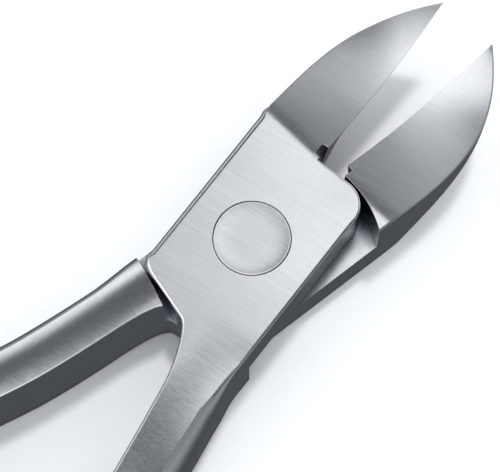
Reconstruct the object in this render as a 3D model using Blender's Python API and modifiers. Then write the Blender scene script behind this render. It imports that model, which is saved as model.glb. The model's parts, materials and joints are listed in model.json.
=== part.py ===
"""Nail nipper of the lap-joint plier type, jaws resting open.

Two crossed halves turn on one flush rivet.  A pair of leaf springs, one screwed to each
handle, hook into each other and push the handles apart.  A swinging catch on one handle
holds the closed handles by a stud on the other.

The origin is on the rivet's axis at the underside.  +X runs along the tool to the jaw
tips, +Z is up.  Each half is designed in its own frame: +X along its cutting edge, +Y on
its own jaw's side, jaws closed.  The upper half turns into place by half the opening
angle, and the lower half is the same design mirrored in Y.
"""

import math

import bmesh
import bpy
from mathutils import Matrix, Vector

MM = 0.001

# Driving dimensions, in millimetres and degrees.
THICKNESS = 10.0
HALF_OPENING = 6.05
LAP_GAP = 0.08
EDGE_GAP = 0.03

# Jaws.
TIP_X = 32.4
TIP_CUT = 0.15
JAW_ROOT_X = 11.0
JAW_ROOT_OVERLAP = 1.5
DROP_LENGTH = 2.8
DROP_EASE = 0.5
EDGE_DROP = 0.8
EDGE_RISE_X = 18.0
EDGE_RISE = 3.6
EDGE_RISE_POWER = 1.9
OUTER_DROP = 0.5
OUTER_RISE_X = 24.0
OUTER_RISE = 3.1
OUTER_RISE_POWER = 3.0
WALL_FLAT_END_X = 14.0
WALL_FOOT_SHARE = 0.985
WALL_FOOT_POWER = 0.9
WALL_FOOT_INSET = 0.94
RIDGE_SHARE = 0.35
RIDGE_ROOT_Y = 1.0
RIDGE_HEIGHT_SHARE = 0.9
RIDGE_SETTLING = 4.0
TIP_THINNING = 0.5
TIP_FLOOR = 0.1
JAW_STATIONS = 18
JAW_STATION_POWER = 1.1
RELIEF_X = 12.05
RELIEF_RADIUS = 0.75

# Lap plate, shoulders and rivet.
FRONT_X = 11.0
FRONT_CORNER_Y = -7.0
FRONT_CORNER_RADIUS = 3.0
PLATE_END_X = 12.2
REAR_FOOT = (-11.1, 0.35)
REAR_SLOPE = 0.3124
CROTCH_PULL = (-11.5, -0.6)
CROTCH_NEAR_X = -14.5
CROTCH_END_X = -17.0
SHOULDER_CENTRE = (-0.4, 2.2)
SHOULDER_RADIUS = 12.25
STEP_INNER = (-11.6, 0.31)
STEP_SLOPE = -0.2308
RECESS_BACK_X = -14.0
CUT_REACH = 9.5
CUT_MARGIN = 1.0
RIVET_HEAD_RADIUS = 4.0
RIVET_HEAD_HEIGHT = 2.0
RIVET_DISH = 0.07
RIVET_DISH_POWER = 5
RIVET_SHANK_RADIUS = 2.6
RIVET_FOOT_RADIUS = 3.6
RIVET_FOOT_HEIGHT = 1.6
RUNNING_CLEARANCE = 0.05

# Handles.
HANDLE_WIDTH = 5.7
HANDLE_TAIL_SCALE = 0.76
HANDLE_START_X = -13.0
HANDLE_END_X = -98.0
HANDLE_TAPER_START_X = -40.0
HANDLE_TAPER_END_X = -74.0
HANDLE_CORNER = 1.5
HANDLE_STATIONS = 30
HANDLE_STATION_POWER = 1.2
TAIL_LENGTH = 3.0
TAIL_ROUNDING = 0.85

# Leaf springs and their screws.
LEAF_ROOT_X = -37.0
LEAF_TIP_X = -64.0
LEAF_THICKNESS = 0.5
LEAF_WIDTH = 5.0
LEAF_TAB = 2.5
LEAF_BEND_X = 1.8
LEAF_LIFT_ANGLE = 26.0
LEAF_OVERRUN = 2.4
LEAF_PULL = 0.35
LEAF_SEGMENTS = 14
TONGUE_WIDTH = 1.8
FORK_SLOT = 2.6
LATCH_OF_LEAVES = 3.6
SEAT_DEPTH = 0.6
SEAT_LENGTH = 7.9
SEAT_SHIFT = 0.85
SEAT_SIDE_GAP = 0.4
BLIND_END_GAP = 0.3
SCREW_SHANK_RADIUS = 0.9
SCREW_HEAD_RADIUS = 1.7
SCREW_HEAD_HEIGHT = 0.9
SCREW_HEAD_GAP = 0.45
SCREW_CHAMFER = 0.3
SCREW_DEPTH = 2.2
LEAF_HOLE_CLEARANCE = 0.15
SCREW_SLOT_WIDTH = 0.4
SCREW_SLOT_DEPTH = 0.4
LEAF_CUTTER_DEPTH = 4.0

# Catch at the handle ends.
CATCH_X = -92.0
CATCH_THICKNESS = 1.0
CATCH_LIFT = 0.3
CATCH_WIDTH = 3.6
CATCH_HOOK_CLEARANCE = 0.2
PIN_RADIUS = 0.9
PIN_HEAD_RADIUS = 1.6
PIN_HEAD_HEIGHT = 0.6
PIN_CHAMFER = 0.25
PIN_DEPTH = 3.0

# How finely curves are divided.
ROUND_STEPS = 32
CROTCH_STEPS = 8
SHOULDER_STEPS = 12
REAR_CORNER_STEPS = 6
FRONT_CORNER_STEPS = 8
PROFILE_CORNER_STEPS = 3
CATCH_END_STEPS = 10
DISH_STEPS = 5
SEARCH_STEPS = 40
SLOPE_STEP = 0.5
WELD_DISTANCE = 0.000001
SMOOTH_ANGLE = math.radians(35)

# What differs between the two hand-fitted halves: the lap plate's side lines and the
# handle's middle line, in the half's own frame.
UPPER = {
    "jaw": ((12.5, 7.8), (19.5, 7.45), (28.2, 7.05), (TIP_X, EDGE_GAP)),
    "jaw_side": ((12.0, 8.0), (-9.2, 7.27)),
    "rear_corner": 1.7,
    "far_side": ((8.0, -7.05), (-11.5, -7.5)),
    "handle": ((-11.0, -4.3), (-17.5, -5.55), (-22.0, -6.4), (-27.0, -7.25), (-40.0, -9.4),
               (-55.0, -10.9), (-70.0, -11.0), (-85.0, -9.4), (-98.0, -7.4)),
    "lap_on_top": True,
}
LOWER = {
    "jaw": ((14.0, 7.72), (21.5, 7.9), (28.5, 7.0), (TIP_X, EDGE_GAP)),
    "jaw_side": ((12.0, 7.72), (-9.0, 7.3)),
    "rear_corner": 3.2,
    "far_side": ((8.0, -6.95), (-10.5, -6.9)),
    "handle": ((-11.0, -3.55), (-17.5, -4.05), (-23.0, -4.6), (-27.0, -5.2), (-40.0, -8.0),
               (-55.0, -10.3), (-70.0, -10.8), (-85.0, -9.4), (-98.0, -7.4)),
    "lap_on_top": False,
}

# Each steel as its colour and its roughness.
BODY_STEEL = ((0.58, 0.60, 0.62, 1.0), 0.32)
RIVET_STEEL = ((0.66, 0.68, 0.70, 1.0), 0.28)
SPRING_STEEL = ((0.45, 0.47, 0.50, 1.0), 0.3)
FASTENER_STEEL = ((0.50, 0.51, 0.53, 1.0), 0.3)


# ------------------------------------------------------------------ plain geometry

def lerp(a, b, t):
    return a + (b - a) * t


def smooth(t):
    t = min(max(t, 0.0), 1.0)
    return t * t * (3.0 - 2.0 * t)


def bezier(control, t):
    a, b, c, d = (Vector(p) for p in control)
    u = 1.0 - t
    return a * u ** 3 + b * 3 * u * u * t + c * 3 * u * t * t + d * t ** 3


def spline_y(points, x):
    """Height at x of the smooth line through points whose x falls steadily."""
    count = len(points)
    i = 0
    while i < count - 2 and x < points[i + 1][0]:
        i += 1
    p0, p1, p2, p3 = (points[min(max(k, 0), count - 1)] for k in (i - 1, i, i + 1, i + 2))
    t = (x - p1[0]) / (p2[0] - p1[0])
    span = p2[0] - p1[0]
    m1 = (p2[1] - p0[1]) / (p2[0] - p0[0]) * span
    m2 = (p3[1] - p1[1]) / (p3[0] - p1[0]) * span
    h = t * t * (3.0 - 2.0 * t)
    return (1.0 - h) * p1[1] + h * p2[1] + t * (1 - t) * ((1 - t) * m1 - t * m2)


def arc_points(centre, radius, start, end, steps):
    out = []
    for i in range(steps + 1):
        a = lerp(start, end, i / steps)
        out.append((centre[0] + radius * math.cos(a), centre[1] + radius * math.sin(a)))
    return out


def rounded_corner(before, corner, after, radius, steps):
    """Points of the arc that rounds a corner between two straight lines."""
    to_before = (Vector(before) - Vector(corner)).normalized()
    to_after = (Vector(after) - Vector(corner)).normalized()
    half = to_before.angle(to_after) / 2.0
    start = Vector(corner) + to_before * (radius / math.tan(half))
    end = Vector(corner) + to_after * (radius / math.tan(half))
    centre = Vector(corner) + (to_before + to_after).normalized() * (radius / math.sin(half))
    out = []
    for i in range(steps + 1):
        chord = start.lerp(end, i / steps) - centre
        out.append(tuple(centre + chord.normalized() * radius))
    return out


def handle_y(half, x):
    return spline_y(half["handle"], x)


def handle_scale(x):
    t = (HANDLE_TAPER_START_X - x) / (HANDLE_TAPER_START_X - HANDLE_TAPER_END_X)
    return lerp(1.0, HANDLE_TAIL_SCALE, smooth(t))


def handle_direction(half, x):
    """Unit vector along the handle's middle line, towards the tail."""
    fall = handle_y(half, x - SLOPE_STEP) - handle_y(half, x + SLOPE_STEP)
    return Vector((-2 * SLOPE_STEP, fall)).normalized()


def handle_inner(half, x):
    """Point on the handle's inner face beside the middle line at x."""
    along = handle_direction(half, x)
    inward = Vector((along.y, -along.x))
    return Vector((x, handle_y(half, x))) + inward * HANDLE_WIDTH / 2 * handle_scale(x)


def handle_top(x):
    return THICKNESS / 2 * (1.0 + handle_scale(x))


# ------------------------------------------------------------------ Blender helpers

def clear_scene():
    for obj in list(bpy.data.objects):
        bpy.data.objects.remove(obj, do_unlink=True)


def collection(name):
    made = bpy.data.collections.new(name)
    bpy.context.scene.collection.children.link(made)
    return made


def steel(name, look):
    colour, roughness = look
    material = bpy.data.materials.new(name)
    material.use_nodes = True
    shader = material.node_tree.nodes["Principled BSDF"]
    shader.inputs["Base Color"].default_value = colour
    shader.inputs["Roughness"].default_value = roughness
    shader.inputs["Metallic"].default_value = 1.0
    return material


def add_object(name, mesh, home):
    obj = bpy.data.objects.new(name, mesh)
    home.objects.link(obj)
    return obj


def mesh_from_curve(name, curve, home):
    """The curve as a closed mesh object with its caps welded on."""
    obj = add_object(name + "_curve", curve, home)
    bpy.context.view_layer.update()
    graph = bpy.context.evaluated_depsgraph_get()
    mesh = bpy.data.meshes.new_from_object(obj.evaluated_get(graph))
    mesh.name = name
    bpy.data.objects.remove(obj, do_unlink=True)
    shape = bmesh.new()
    shape.from_mesh(mesh)
    bmesh.ops.remove_doubles(shape, verts=shape.verts, dist=WELD_DISTANCE)
    bmesh.ops.recalc_face_normals(shape, faces=shape.faces)
    shape.to_mesh(mesh)
    shape.free()
    return add_object(name, mesh, home)


def extruded(name, outline, low, high, home):
    """A flat outline in millimetres as a solid from height low to height high."""
    curve = bpy.data.curves.new(name, "CURVE")
    curve.dimensions = "2D"
    curve.fill_mode = "BOTH"
    curve.extrude = (high - low) / 2 * MM
    spline = curve.splines.new("POLY")
    spline.points.add(len(outline) - 1)
    for point, (x, y) in zip(spline.points, outline):
        point.co = (x * MM, y * MM, 0.0, 1.0)
    spline.use_cyclic_u = True
    obj = mesh_from_curve(name, curve, home)
    obj.data.transform(Matrix.Translation((0.0, 0.0, (low + high) / 2 * MM)))
    return obj


def cylinder(name, radius, low, high, place, home):
    """A cylinder along Z from low to high, then moved by the matrix place."""
    mesh = bpy.data.meshes.new(name)
    shape = bmesh.new()
    bmesh.ops.create_cone(shape, cap_ends=True, segments=ROUND_STEPS, radius1=radius * MM,
                          radius2=radius * MM, depth=(high - low) * MM)
    middle = Matrix.Translation((0.0, 0.0, (low + high) / 2 * MM))
    bmesh.ops.transform(shape, matrix=place @ middle, verts=shape.verts)
    shape.to_mesh(mesh)
    shape.free()
    return add_object(name, mesh, home)


def box(name, size, place, home):
    """A box of the given size in millimetres, centred, then moved by the matrix place."""
    mesh = bpy.data.meshes.new(name)
    shape = bmesh.new()
    bmesh.ops.create_cube(shape, size=1.0)
    scale = Matrix.Diagonal((size[0] * MM, size[1] * MM, size[2] * MM, 1.0))
    bmesh.ops.transform(shape, matrix=place @ scale, verts=shape.verts)
    shape.to_mesh(mesh)
    shape.free()
    return add_object(name, mesh, home)


def turned(name, profile, place, home):
    """A solid of revolution about Z from (radius, height) pairs, top to bottom."""
    mesh = bpy.data.meshes.new(name)
    points = [(r * MM, 0.0, z * MM) for r, z in profile]
    mesh.from_pydata(points, [(i, i + 1) for i in range(len(points) - 1)], [])
    obj = add_object(name, mesh, home)
    screw = obj.modifiers.new("turn", "SCREW")
    screw.steps = ROUND_STEPS
    screw.render_steps = ROUND_STEPS
    screw.use_merge_vertices = True
    screw.merge_threshold = WELD_DISTANCE
    bpy.context.view_layer.update()
    graph = bpy.context.evaluated_depsgraph_get()
    solid = bpy.data.meshes.new_from_object(obj.evaluated_get(graph))
    obj.modifiers.clear()
    solid.transform(place)
    obj.data = solid
    return obj


def hide_cutter(obj):
    obj.hide_render = True
    obj.display_type = "WIRE"


def boolean(target, tool, operation):
    modifier = target.modifiers.new(operation.lower(), "BOOLEAN")
    modifier.operation = operation
    modifier.solver = "EXACT"
    modifier.object = tool
    hide_cutter(tool)


def apply_modifiers(obj):
    bpy.context.view_layer.update()
    graph = bpy.context.evaluated_depsgraph_get()
    mesh = bpy.data.meshes.new_from_object(obj.evaluated_get(graph))
    obj.modifiers.clear()
    obj.data = mesh


def finish(obj, name, material):
    """Bake the modifiers, name the piece and give it its material and shading."""
    apply_modifiers(obj)
    obj.name = name
    obj.data.name = name
    obj.data.materials.clear()
    obj.data.materials.append(material)
    obj.data.shade_smooth()
    obj.data.set_sharp_from_angle(angle=SMOOTH_ANGLE)


# ------------------------------------------------------------------ jaws

def drop(x):
    """Share of the quick drop just ahead of the plate that has happened by x."""
    along = max(x - JAW_ROOT_X, 0.0)
    return 1.0 - math.exp(-along * along / (along + DROP_EASE) / DROP_LENGTH)


def rise(x, start):
    """Share of the way from start to the tip."""
    return max((x - start) / (TIP_X - start), 0.0)


def edge_z(x):
    """Height of the cutting edge: a quick drop below the plate, then a long curve up."""
    climb = EDGE_RISE * rise(x, EDGE_RISE_X) ** EDGE_RISE_POWER
    return THICKNESS - EDGE_DROP * drop(x) + climb


def outer_z(x):
    """Height of the jaw's outer top edge, which climbs only near the tip."""
    climb = OUTER_RISE * rise(x, OUTER_RISE_X) ** OUTER_RISE_POWER
    return THICKNESS - OUTER_DROP * drop(x) + climb


def jaw_outer_y(half, x):
    """Width of the jaw at x, from its outer line."""
    control = half["jaw"]
    if x <= control[0][0]:
        return control[0][1]
    low, high = 0.0, 1.0
    for _ in range(SEARCH_STEPS):
        mid = (low + high) / 2
        if bezier(control, mid).x < x:
            low = mid
        else:
            high = mid
    return bezier(control, low).y


def jaw_section(half, x):
    """Four corners (y, z): cutting edge, outer top, outer wall's foot, underside ridge."""
    t = min(rise(x, WALL_FLAT_END_X), 1.0)
    outer = jaw_outer_y(half, x)
    top = outer_z(x)
    edge = edge_z(x)
    thin = TIP_FLOOR + lerp(1.0, TIP_THINNING, t) * outer
    foot = max(top * t ** WALL_FOOT_POWER * WALL_FOOT_SHARE, top - 2 * thin)
    ridge_y = lerp(RIDGE_ROOT_Y, outer * RIDGE_SHARE, smooth(RIDGE_SETTLING * t))
    ridge_z = max(edge * t ** 2 * RIDGE_HEIGHT_SHARE, edge - 2 * thin)
    wall_foot_y = outer * lerp(1.0, WALL_FOOT_INSET, t)
    foot = min(foot, top - TIP_FLOOR)
    return ((EDGE_GAP, edge), (outer, top), (wall_foot_y, foot), (ridge_y, ridge_z))


def jaw(half, home):
    """The jaw as a loft of four-cornered sections from inside the plate to the tip."""
    shape = bmesh.new()
    rings = []
    start = JAW_ROOT_X - JAW_ROOT_OVERLAP
    end = TIP_X - TIP_CUT
    for i in range(JAW_STATIONS + 1):
        share = math.sin(math.pi / 2 * i / JAW_STATIONS) ** JAW_STATION_POWER
        x = lerp(start, end, share)
        ring = [shape.verts.new((x * MM, y * MM, z * MM)) for y, z in jaw_section(half, x)]
        rings.append(ring)
    for first, second in zip(rings, rings[1:]):
        for k in range(4):
            n = (k + 1) % 4
            shape.faces.new((first[k], first[n], second[n], second[k]))
    shape.faces.new(rings[0][::-1])
    shape.faces.new(rings[-1])
    bmesh.ops.triangulate(shape, faces=shape.faces)
    bmesh.ops.recalc_face_normals(shape, faces=shape.faces)
    mesh = bpy.data.meshes.new("jaw")
    shape.to_mesh(mesh)
    shape.free()
    return add_object("jaw", mesh, home)


# ------------------------------------------------------------------ lap plate

def plate_outline(half):
    """Plan outline of the lap plate with its root of the jaw and of the handle."""
    jaw_front, jaw_rear = half["jaw_side"]
    far_front, far_rear = half["far_side"]
    rear_top = (REAR_FOOT[0] + (jaw_rear[1] - REAR_FOOT[1]) * REAR_SLOPE, jaw_rear[1])
    inner_tail = handle_inner(half, CROTCH_END_X)
    inner_near = handle_inner(half, CROTCH_NEAR_X)
    outer_tail = 2 * Vector((CROTCH_END_X, handle_y(half, CROTCH_END_X))) - inner_tail
    front_far = (FRONT_X, FRONT_CORNER_Y)
    front_near = (FRONT_X, EDGE_GAP)
    outline = [front_near, (PLATE_END_X, EDGE_GAP), (PLATE_END_X, jaw_front[1]), jaw_front]
    outline += rounded_corner(jaw_front, rear_top, REAR_FOOT, half["rear_corner"],
                              REAR_CORNER_STEPS)
    crotch = (REAR_FOOT, CROTCH_PULL, tuple(inner_near), tuple(inner_tail))
    for i in range(CROTCH_STEPS + 1):
        outline.append(tuple(bezier(crotch, i / CROTCH_STEPS)))
    outline += [tuple(outer_tail), far_rear, far_front]
    outline += rounded_corner(far_front, front_far, front_near, FRONT_CORNER_RADIUS,
                              FRONT_CORNER_STEPS)
    return outline


def recess_outline():
    """Plan of the space left for the other half's lap, between the two shoulders."""
    centre = SHOULDER_CENTRE
    reach = math.asin((CUT_REACH - centre[1]) / SHOULDER_RADIUS)
    begin = math.asin((RELIEF_RADIUS - centre[1]) / SHOULDER_RADIUS)
    step_end = STEP_INNER[0] + (-CUT_REACH - STEP_INNER[1]) * STEP_SLOPE
    outline = [(step_end, -CUT_REACH), (RELIEF_X, -CUT_REACH), (RELIEF_X, 0.0)]
    outline += arc_points(centre, SHOULDER_RADIUS, begin, reach, SHOULDER_STEPS)
    outline += [(RECESS_BACK_X, CUT_REACH), (RECESS_BACK_X, STEP_INNER[1]), STEP_INNER]
    return outline


# ------------------------------------------------------------------ handles

def handle_profile(home):
    """Cross-section of a handle: a rounded rectangle, as a curve to sweep."""
    curve = bpy.data.curves.new("handle_profile", "CURVE")
    curve.dimensions = "2D"
    half_width = HANDLE_WIDTH / 2 - HANDLE_CORNER
    half_height = THICKNESS / 2 - HANDLE_CORNER
    corners = ((half_width, half_height, 0.0), (-half_width, half_height, 0.5),
               (-half_width, -half_height, 1.0), (half_width, -half_height, 1.5))
    points = []
    for x, y, turn in corners:
        points += arc_points((x, y), HANDLE_CORNER, turn * math.pi, (turn + 0.5) * math.pi,
                             PROFILE_CORNER_STEPS)
    spline = curve.splines.new("POLY")
    spline.points.add(len(points) - 1)
    for point, (x, y) in zip(spline.points, points):
        point.co = (x * MM, y * MM, 0.0, 1.0)
    spline.use_cyclic_u = True
    profile = add_object("handle_profile", curve, home)
    hide_cutter(profile)
    return profile


def handle(half, profile, home):
    """A handle swept along its middle line, narrowing to a rounded tail."""
    curve = bpy.data.curves.new("handle", "CURVE")
    curve.dimensions = "3D"
    curve.twist_mode = "Z_UP"
    curve.bevel_mode = "OBJECT"
    curve.bevel_object = profile
    curve.use_fill_caps = True
    spline = curve.splines.new("POLY")
    spline.points.add(HANDLE_STATIONS - 1)
    for i, point in enumerate(spline.points):
        t = i / (HANDLE_STATIONS - 1)
        share = math.sin(math.pi / 2 * t) ** HANDLE_STATION_POWER
        x = lerp(HANDLE_START_X, HANDLE_END_X, share)
        tail = max(0.0, 1.0 - (x - HANDLE_END_X) / TAIL_LENGTH)
        point.co = (x * MM, handle_y(half, x) * MM, THICKNESS / 2 * MM, 1.0)
        point.radius = handle_scale(x) * math.sqrt(1.0 - TAIL_ROUNDING * tail ** 2)
    return mesh_from_curve("handle", curve, home)


# ------------------------------------------------------------------ places on a handle

def seat_place(half):
    """Frame at a leaf's root, mid-thickness: X towards the tail, Y from the handle inward."""
    along = handle_direction(half, LEAF_ROOT_X)
    inward = Vector((along.y, -along.x))
    origin = handle_inner(half, LEAF_ROOT_X) + inward * LEAF_THICKNESS / 2
    place = Matrix.Identity(4)
    place.col[0] = (along.x, along.y, 0.0, 0.0)
    place.col[1] = (inward.x, inward.y, 0.0, 0.0)
    place.col[2] = (0.0, 0.0, -1.0, 0.0)
    place.col[3] = (origin.x * MM, origin.y * MM, THICKNESS / 2 * MM, 1.0)
    return place


def screw_place(half):
    """Frame of a leaf's screw, with Z out of the handle."""
    return seat_place(half) @ Matrix.Rotation(-math.pi / 2, 4, "X")


def screw_hole(half, home):
    low = -LEAF_THICKNESS / 2 - SEAT_DEPTH - SCREW_DEPTH - BLIND_END_GAP
    return cylinder("screw_hole", SCREW_SHANK_RADIUS + RUNNING_CLEARANCE, low, CUT_MARGIN,
                    screw_place(half), home)


def spring_seat(half, home):
    """Shallow pocket in the handle that the leaf's root rocks in as the leaf bends."""
    size = (SEAT_LENGTH, 2 * SEAT_DEPTH, LEAF_WIDTH + 2 * SEAT_SIDE_GAP)
    shift = Matrix.Translation((SEAT_SHIFT * MM, -LEAF_THICKNESS / 2 * MM, 0.0))
    return box("spring_seat", size, seat_place(half) @ shift, home)


# ------------------------------------------------------------------ pieces

def half_body(half, name, material, home, cutters):
    """One half: jaw, lap plate and handle in one forging, cut for its mate and fittings."""
    body = extruded(name, plate_outline(half), 0.0, THICKNESS, home)
    profile = handle_profile(cutters)
    boolean(body, jaw(half, cutters), "UNION")
    boolean(body, handle(half, profile, cutters), "UNION")
    middle = THICKNESS / 2
    if half["lap_on_top"]:
        low, high = -CUT_MARGIN, middle + LAP_GAP / 2
    else:
        low, high = middle - LAP_GAP / 2, THICKNESS + CUT_MARGIN
    boolean(body, extruded("recess", recess_outline(), low, high, cutters), "DIFFERENCE")
    relief_place = Matrix.Translation((RELIEF_X * MM, 0.0, 0.0))
    relief = cylinder("relief", RELIEF_RADIUS, -CUT_MARGIN, THICKNESS + CUT_MARGIN,
                      relief_place, cutters)
    boolean(body, relief, "DIFFERENCE")
    boolean(body, rivet_hole(cutters), "DIFFERENCE")
    boolean(body, spring_seat(half, cutters), "DIFFERENCE")
    boolean(body, screw_hole(half, cutters), "DIFFERENCE")
    boolean(body, catch_hole(half, cutters), "DIFFERENCE")
    finish(body, name, material)
    return body


def rivet_profile(clearance):
    """Outer line of the rivet, top to bottom; clearance makes it the hole's."""
    head = RIVET_HEAD_RADIUS + clearance
    shank = RIVET_SHANK_RADIUS + clearance
    foot = RIVET_FOOT_RADIUS + clearance
    head_low = THICKNESS - RIVET_HEAD_HEIGHT - clearance
    foot_high = RIVET_FOOT_HEIGHT + clearance
    return [(head, head_low), (shank, head_low), (shank, foot_high), (foot, foot_high)]


def rivet_hole(home):
    top = RIVET_HEAD_RADIUS + RUNNING_CLEARANCE
    foot = RIVET_FOOT_RADIUS + RUNNING_CLEARANCE
    profile = [(0.0, THICKNESS + CUT_MARGIN), (top, THICKNESS + CUT_MARGIN)]
    profile += rivet_profile(RUNNING_CLEARANCE)
    profile += [(foot, -CUT_MARGIN), (0.0, -CUT_MARGIN)]
    return turned("rivet_hole", profile, Matrix.Identity(4), home)


def pivot_rivet(material, home):
    """The rivet, its flush head faintly dished up to the rim."""
    profile = []
    for i in range(DISH_STEPS + 1):
        t = i / DISH_STEPS
        depth = RIVET_DISH * (1.0 - t ** RIVET_DISH_POWER)
        profile.append((RIVET_HEAD_RADIUS * t, THICKNESS - depth))
    profile += rivet_profile(0.0)
    profile += [(RIVET_FOOT_RADIUS, 0.0), (0.0, 0.0)]
    rivet = turned("pivot_rivet", profile, Matrix.Identity(4), home)
    finish(rivet, "pivot_rivet", material)
    return rivet


def leaf_path(half):
    """Middle line of a leaf in the half's own frame, jaws resting open."""
    place = seat_place(half)
    root = Vector(((place.translation.x) / MM, (place.translation.y) / MM))
    along = Vector((place.col[0][0], place.col[0][1]))
    turn = math.radians(HALF_OPENING)
    tip_line = Vector((-math.cos(turn), math.sin(turn)))
    tip = tip_line * -LEAF_TIP_X
    bend = root + along * LEAF_BEND_X
    lift = math.radians(LEAF_LIFT_ANGLE)
    inward = Vector((along.y, -along.x))
    away = along * math.cos(lift) + inward * math.sin(lift)
    pull = (tip - bend).length * LEAF_PULL
    arrive = (tip - bend - away * pull).normalized()
    control = (bend, bend + away * pull, tip - arrive * pull, tip)
    points = [root - along * LEAF_TAB]
    for i in range(LEAF_SEGMENTS + 1):
        points.append(bezier(control, i / LEAF_SEGMENTS))
    points.append(tip + arrive * LEAF_OVERRUN)
    return points


def leaf(half, name, tongue, material, home, cutters):
    """A leaf spring: a strip from its screwed tab to the tip that meets the other leaf."""
    points = leaf_path(half)
    left, right = [], []
    for i, point in enumerate(points):
        before = points[max(i - 1, 0)]
        after = points[min(i + 1, len(points) - 1)]
        along = (after - before).normalized()
        side = Vector((-along.y, along.x)) * LEAF_THICKNESS / 2
        left.append(tuple(point + side))
        right.append(tuple(point - side))
    outline = left + right[::-1]
    low = THICKNESS / 2 - LEAF_WIDTH / 2
    strip = extruded(name, outline, low, low + LEAF_WIDTH, home)
    end_direction = (points[-1] - points[-2]).normalized()
    place = Matrix.Identity(4)
    place.col[0] = (end_direction.x, end_direction.y, 0.0, 0.0)
    place.col[1] = (-end_direction.y, end_direction.x, 0.0, 0.0)
    place.col[3] = (points[-2].x * MM, points[-2].y * MM, THICKNESS / 2 * MM, 1.0)
    length = LATCH_OF_LEAVES + LEAF_OVERRUN + CUT_MARGIN
    shift = Matrix.Translation(((length / 2 - LATCH_OF_LEAVES) * MM, 0.0, 0.0))
    if tongue:
        size = (length, LEAF_CUTTER_DEPTH, LEAF_WIDTH)
        for sign in (-1, 1):
            lift = Matrix.Translation((0.0, 0.0, sign * (TONGUE_WIDTH + LEAF_WIDTH) / 2 * MM))
            boolean(strip, box("tongue_cut", size, place @ shift @ lift, cutters), "DIFFERENCE")
    else:
        size = (length, LEAF_CUTTER_DEPTH, FORK_SLOT)
        slot = box("fork_slot", size, place @ shift, cutters)
        boolean(strip, slot, "DIFFERENCE")
    hole = cylinder("leaf_hole", SCREW_SHANK_RADIUS + LEAF_HOLE_CLEARANCE, -CUT_MARGIN,
                    CUT_MARGIN, screw_place(half), cutters)
    boolean(strip, hole, "DIFFERENCE")
    finish(strip, name, material)
    return strip


def spring_screw(half, name, material, home, cutters):
    """Slotted screw that holds a leaf's tab to the handle."""
    head_low = LEAF_THICKNESS / 2 + SCREW_HEAD_GAP
    head_high = head_low + SCREW_HEAD_HEIGHT
    end = -LEAF_THICKNESS / 2 - SEAT_DEPTH - SCREW_DEPTH
    profile = [(0.0, head_high), (SCREW_HEAD_RADIUS - SCREW_CHAMFER, head_high),
               (SCREW_HEAD_RADIUS, head_high - SCREW_CHAMFER), (SCREW_HEAD_RADIUS, head_low),
               (SCREW_SHANK_RADIUS, head_low), (SCREW_SHANK_RADIUS, end), (0.0, end)]
    place = screw_place(half)
    screw = turned(name, profile, place, home)
    slot_place = place @ Matrix.Translation((0.0, 0.0, head_high * MM))
    size = (2 * SCREW_HEAD_RADIUS + CUT_MARGIN, SCREW_SLOT_WIDTH, 2 * SCREW_SLOT_DEPTH)
    boolean(screw, box("screw_slot", size, slot_place, cutters), "DIFFERENCE")
    finish(screw, name, material)
    return screw


def catch_point(half):
    """Where the catch turns on the upper handle, and where the lower handle's stud is."""
    return Vector((CATCH_X, handle_y(half, CATCH_X)))


def catch_hole(half, home):
    point = catch_point(half)
    place = Matrix.Translation((point.x * MM, point.y * MM, 0.0))
    low = handle_top(CATCH_X) - PIN_DEPTH - BLIND_END_GAP
    return cylinder("catch_hole", PIN_RADIUS + RUNNING_CLEARANCE, low,
                    THICKNESS + CUT_MARGIN, place, home)


def headed_pin(half, name, material, home):
    """The catch's rivet or its stud: a pin in the handle with a head above the catch."""
    top = handle_top(CATCH_X)
    neck_high = top + CATCH_LIFT + CATCH_THICKNESS + CATCH_LIFT
    head_high = neck_high + PIN_HEAD_HEIGHT
    profile = [(0.0, head_high), (PIN_HEAD_RADIUS - PIN_CHAMFER, head_high),
               (PIN_HEAD_RADIUS, head_high - PIN_CHAMFER), (PIN_HEAD_RADIUS, neck_high),
               (PIN_RADIUS, neck_high), (PIN_RADIUS, top - PIN_DEPTH), (0.0, top - PIN_DEPTH)]
    point = catch_point(half)
    place = Matrix.Translation((point.x * MM, point.y * MM, 0.0))
    pin = turned(name, profile, place, home)
    finish(pin, name, material)
    return pin


def catch_arm(material, home, cutters):
    """The swinging catch, folded forward along the upper handle."""
    pivot = catch_point(UPPER)
    stud = catch_point(LOWER)
    reach = math.hypot(stud.x - pivot.x, stud.y + pivot.y)
    radius = CATCH_WIDTH / 2
    right = math.pi / 2
    outline = arc_points((0.0, 0.0), radius, right, 3 * right, CATCH_END_STEPS)
    outline += arc_points((reach, 0.0), radius, -right, right, CATCH_END_STEPS)
    low = handle_top(CATCH_X) + CATCH_LIFT
    arm = extruded("catch_arm", outline, low, low + CATCH_THICKNESS, home)
    hole = cylinder("arm_hole", PIN_RADIUS + RUNNING_CLEARANCE, 0.0, 2 * THICKNESS,
                    Matrix.Identity(4), cutters)
    boolean(arm, hole, "DIFFERENCE")
    notch_radius = PIN_RADIUS + CATCH_HOOK_CLEARANCE
    notch = arc_points((reach, 0.0), notch_radius, 2 * right, 4 * right, CATCH_END_STEPS)
    notch += [(reach + notch_radius, CATCH_WIDTH), (reach - notch_radius, CATCH_WIDTH)]
    boolean(arm, extruded("hook_notch", notch, 0.0, 2 * THICKNESS, cutters), "DIFFERENCE")
    finish(arm, "catch_arm", material)
    forward = -handle_direction(UPPER, CATCH_X)
    place = Matrix.Translation((pivot.x * MM, pivot.y * MM, 0.0))
    arm.data.transform(place @ Matrix.Rotation(math.atan2(forward.y, forward.x), 4, "Z"))
    return arm


# ------------------------------------------------------------------ assembly

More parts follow.
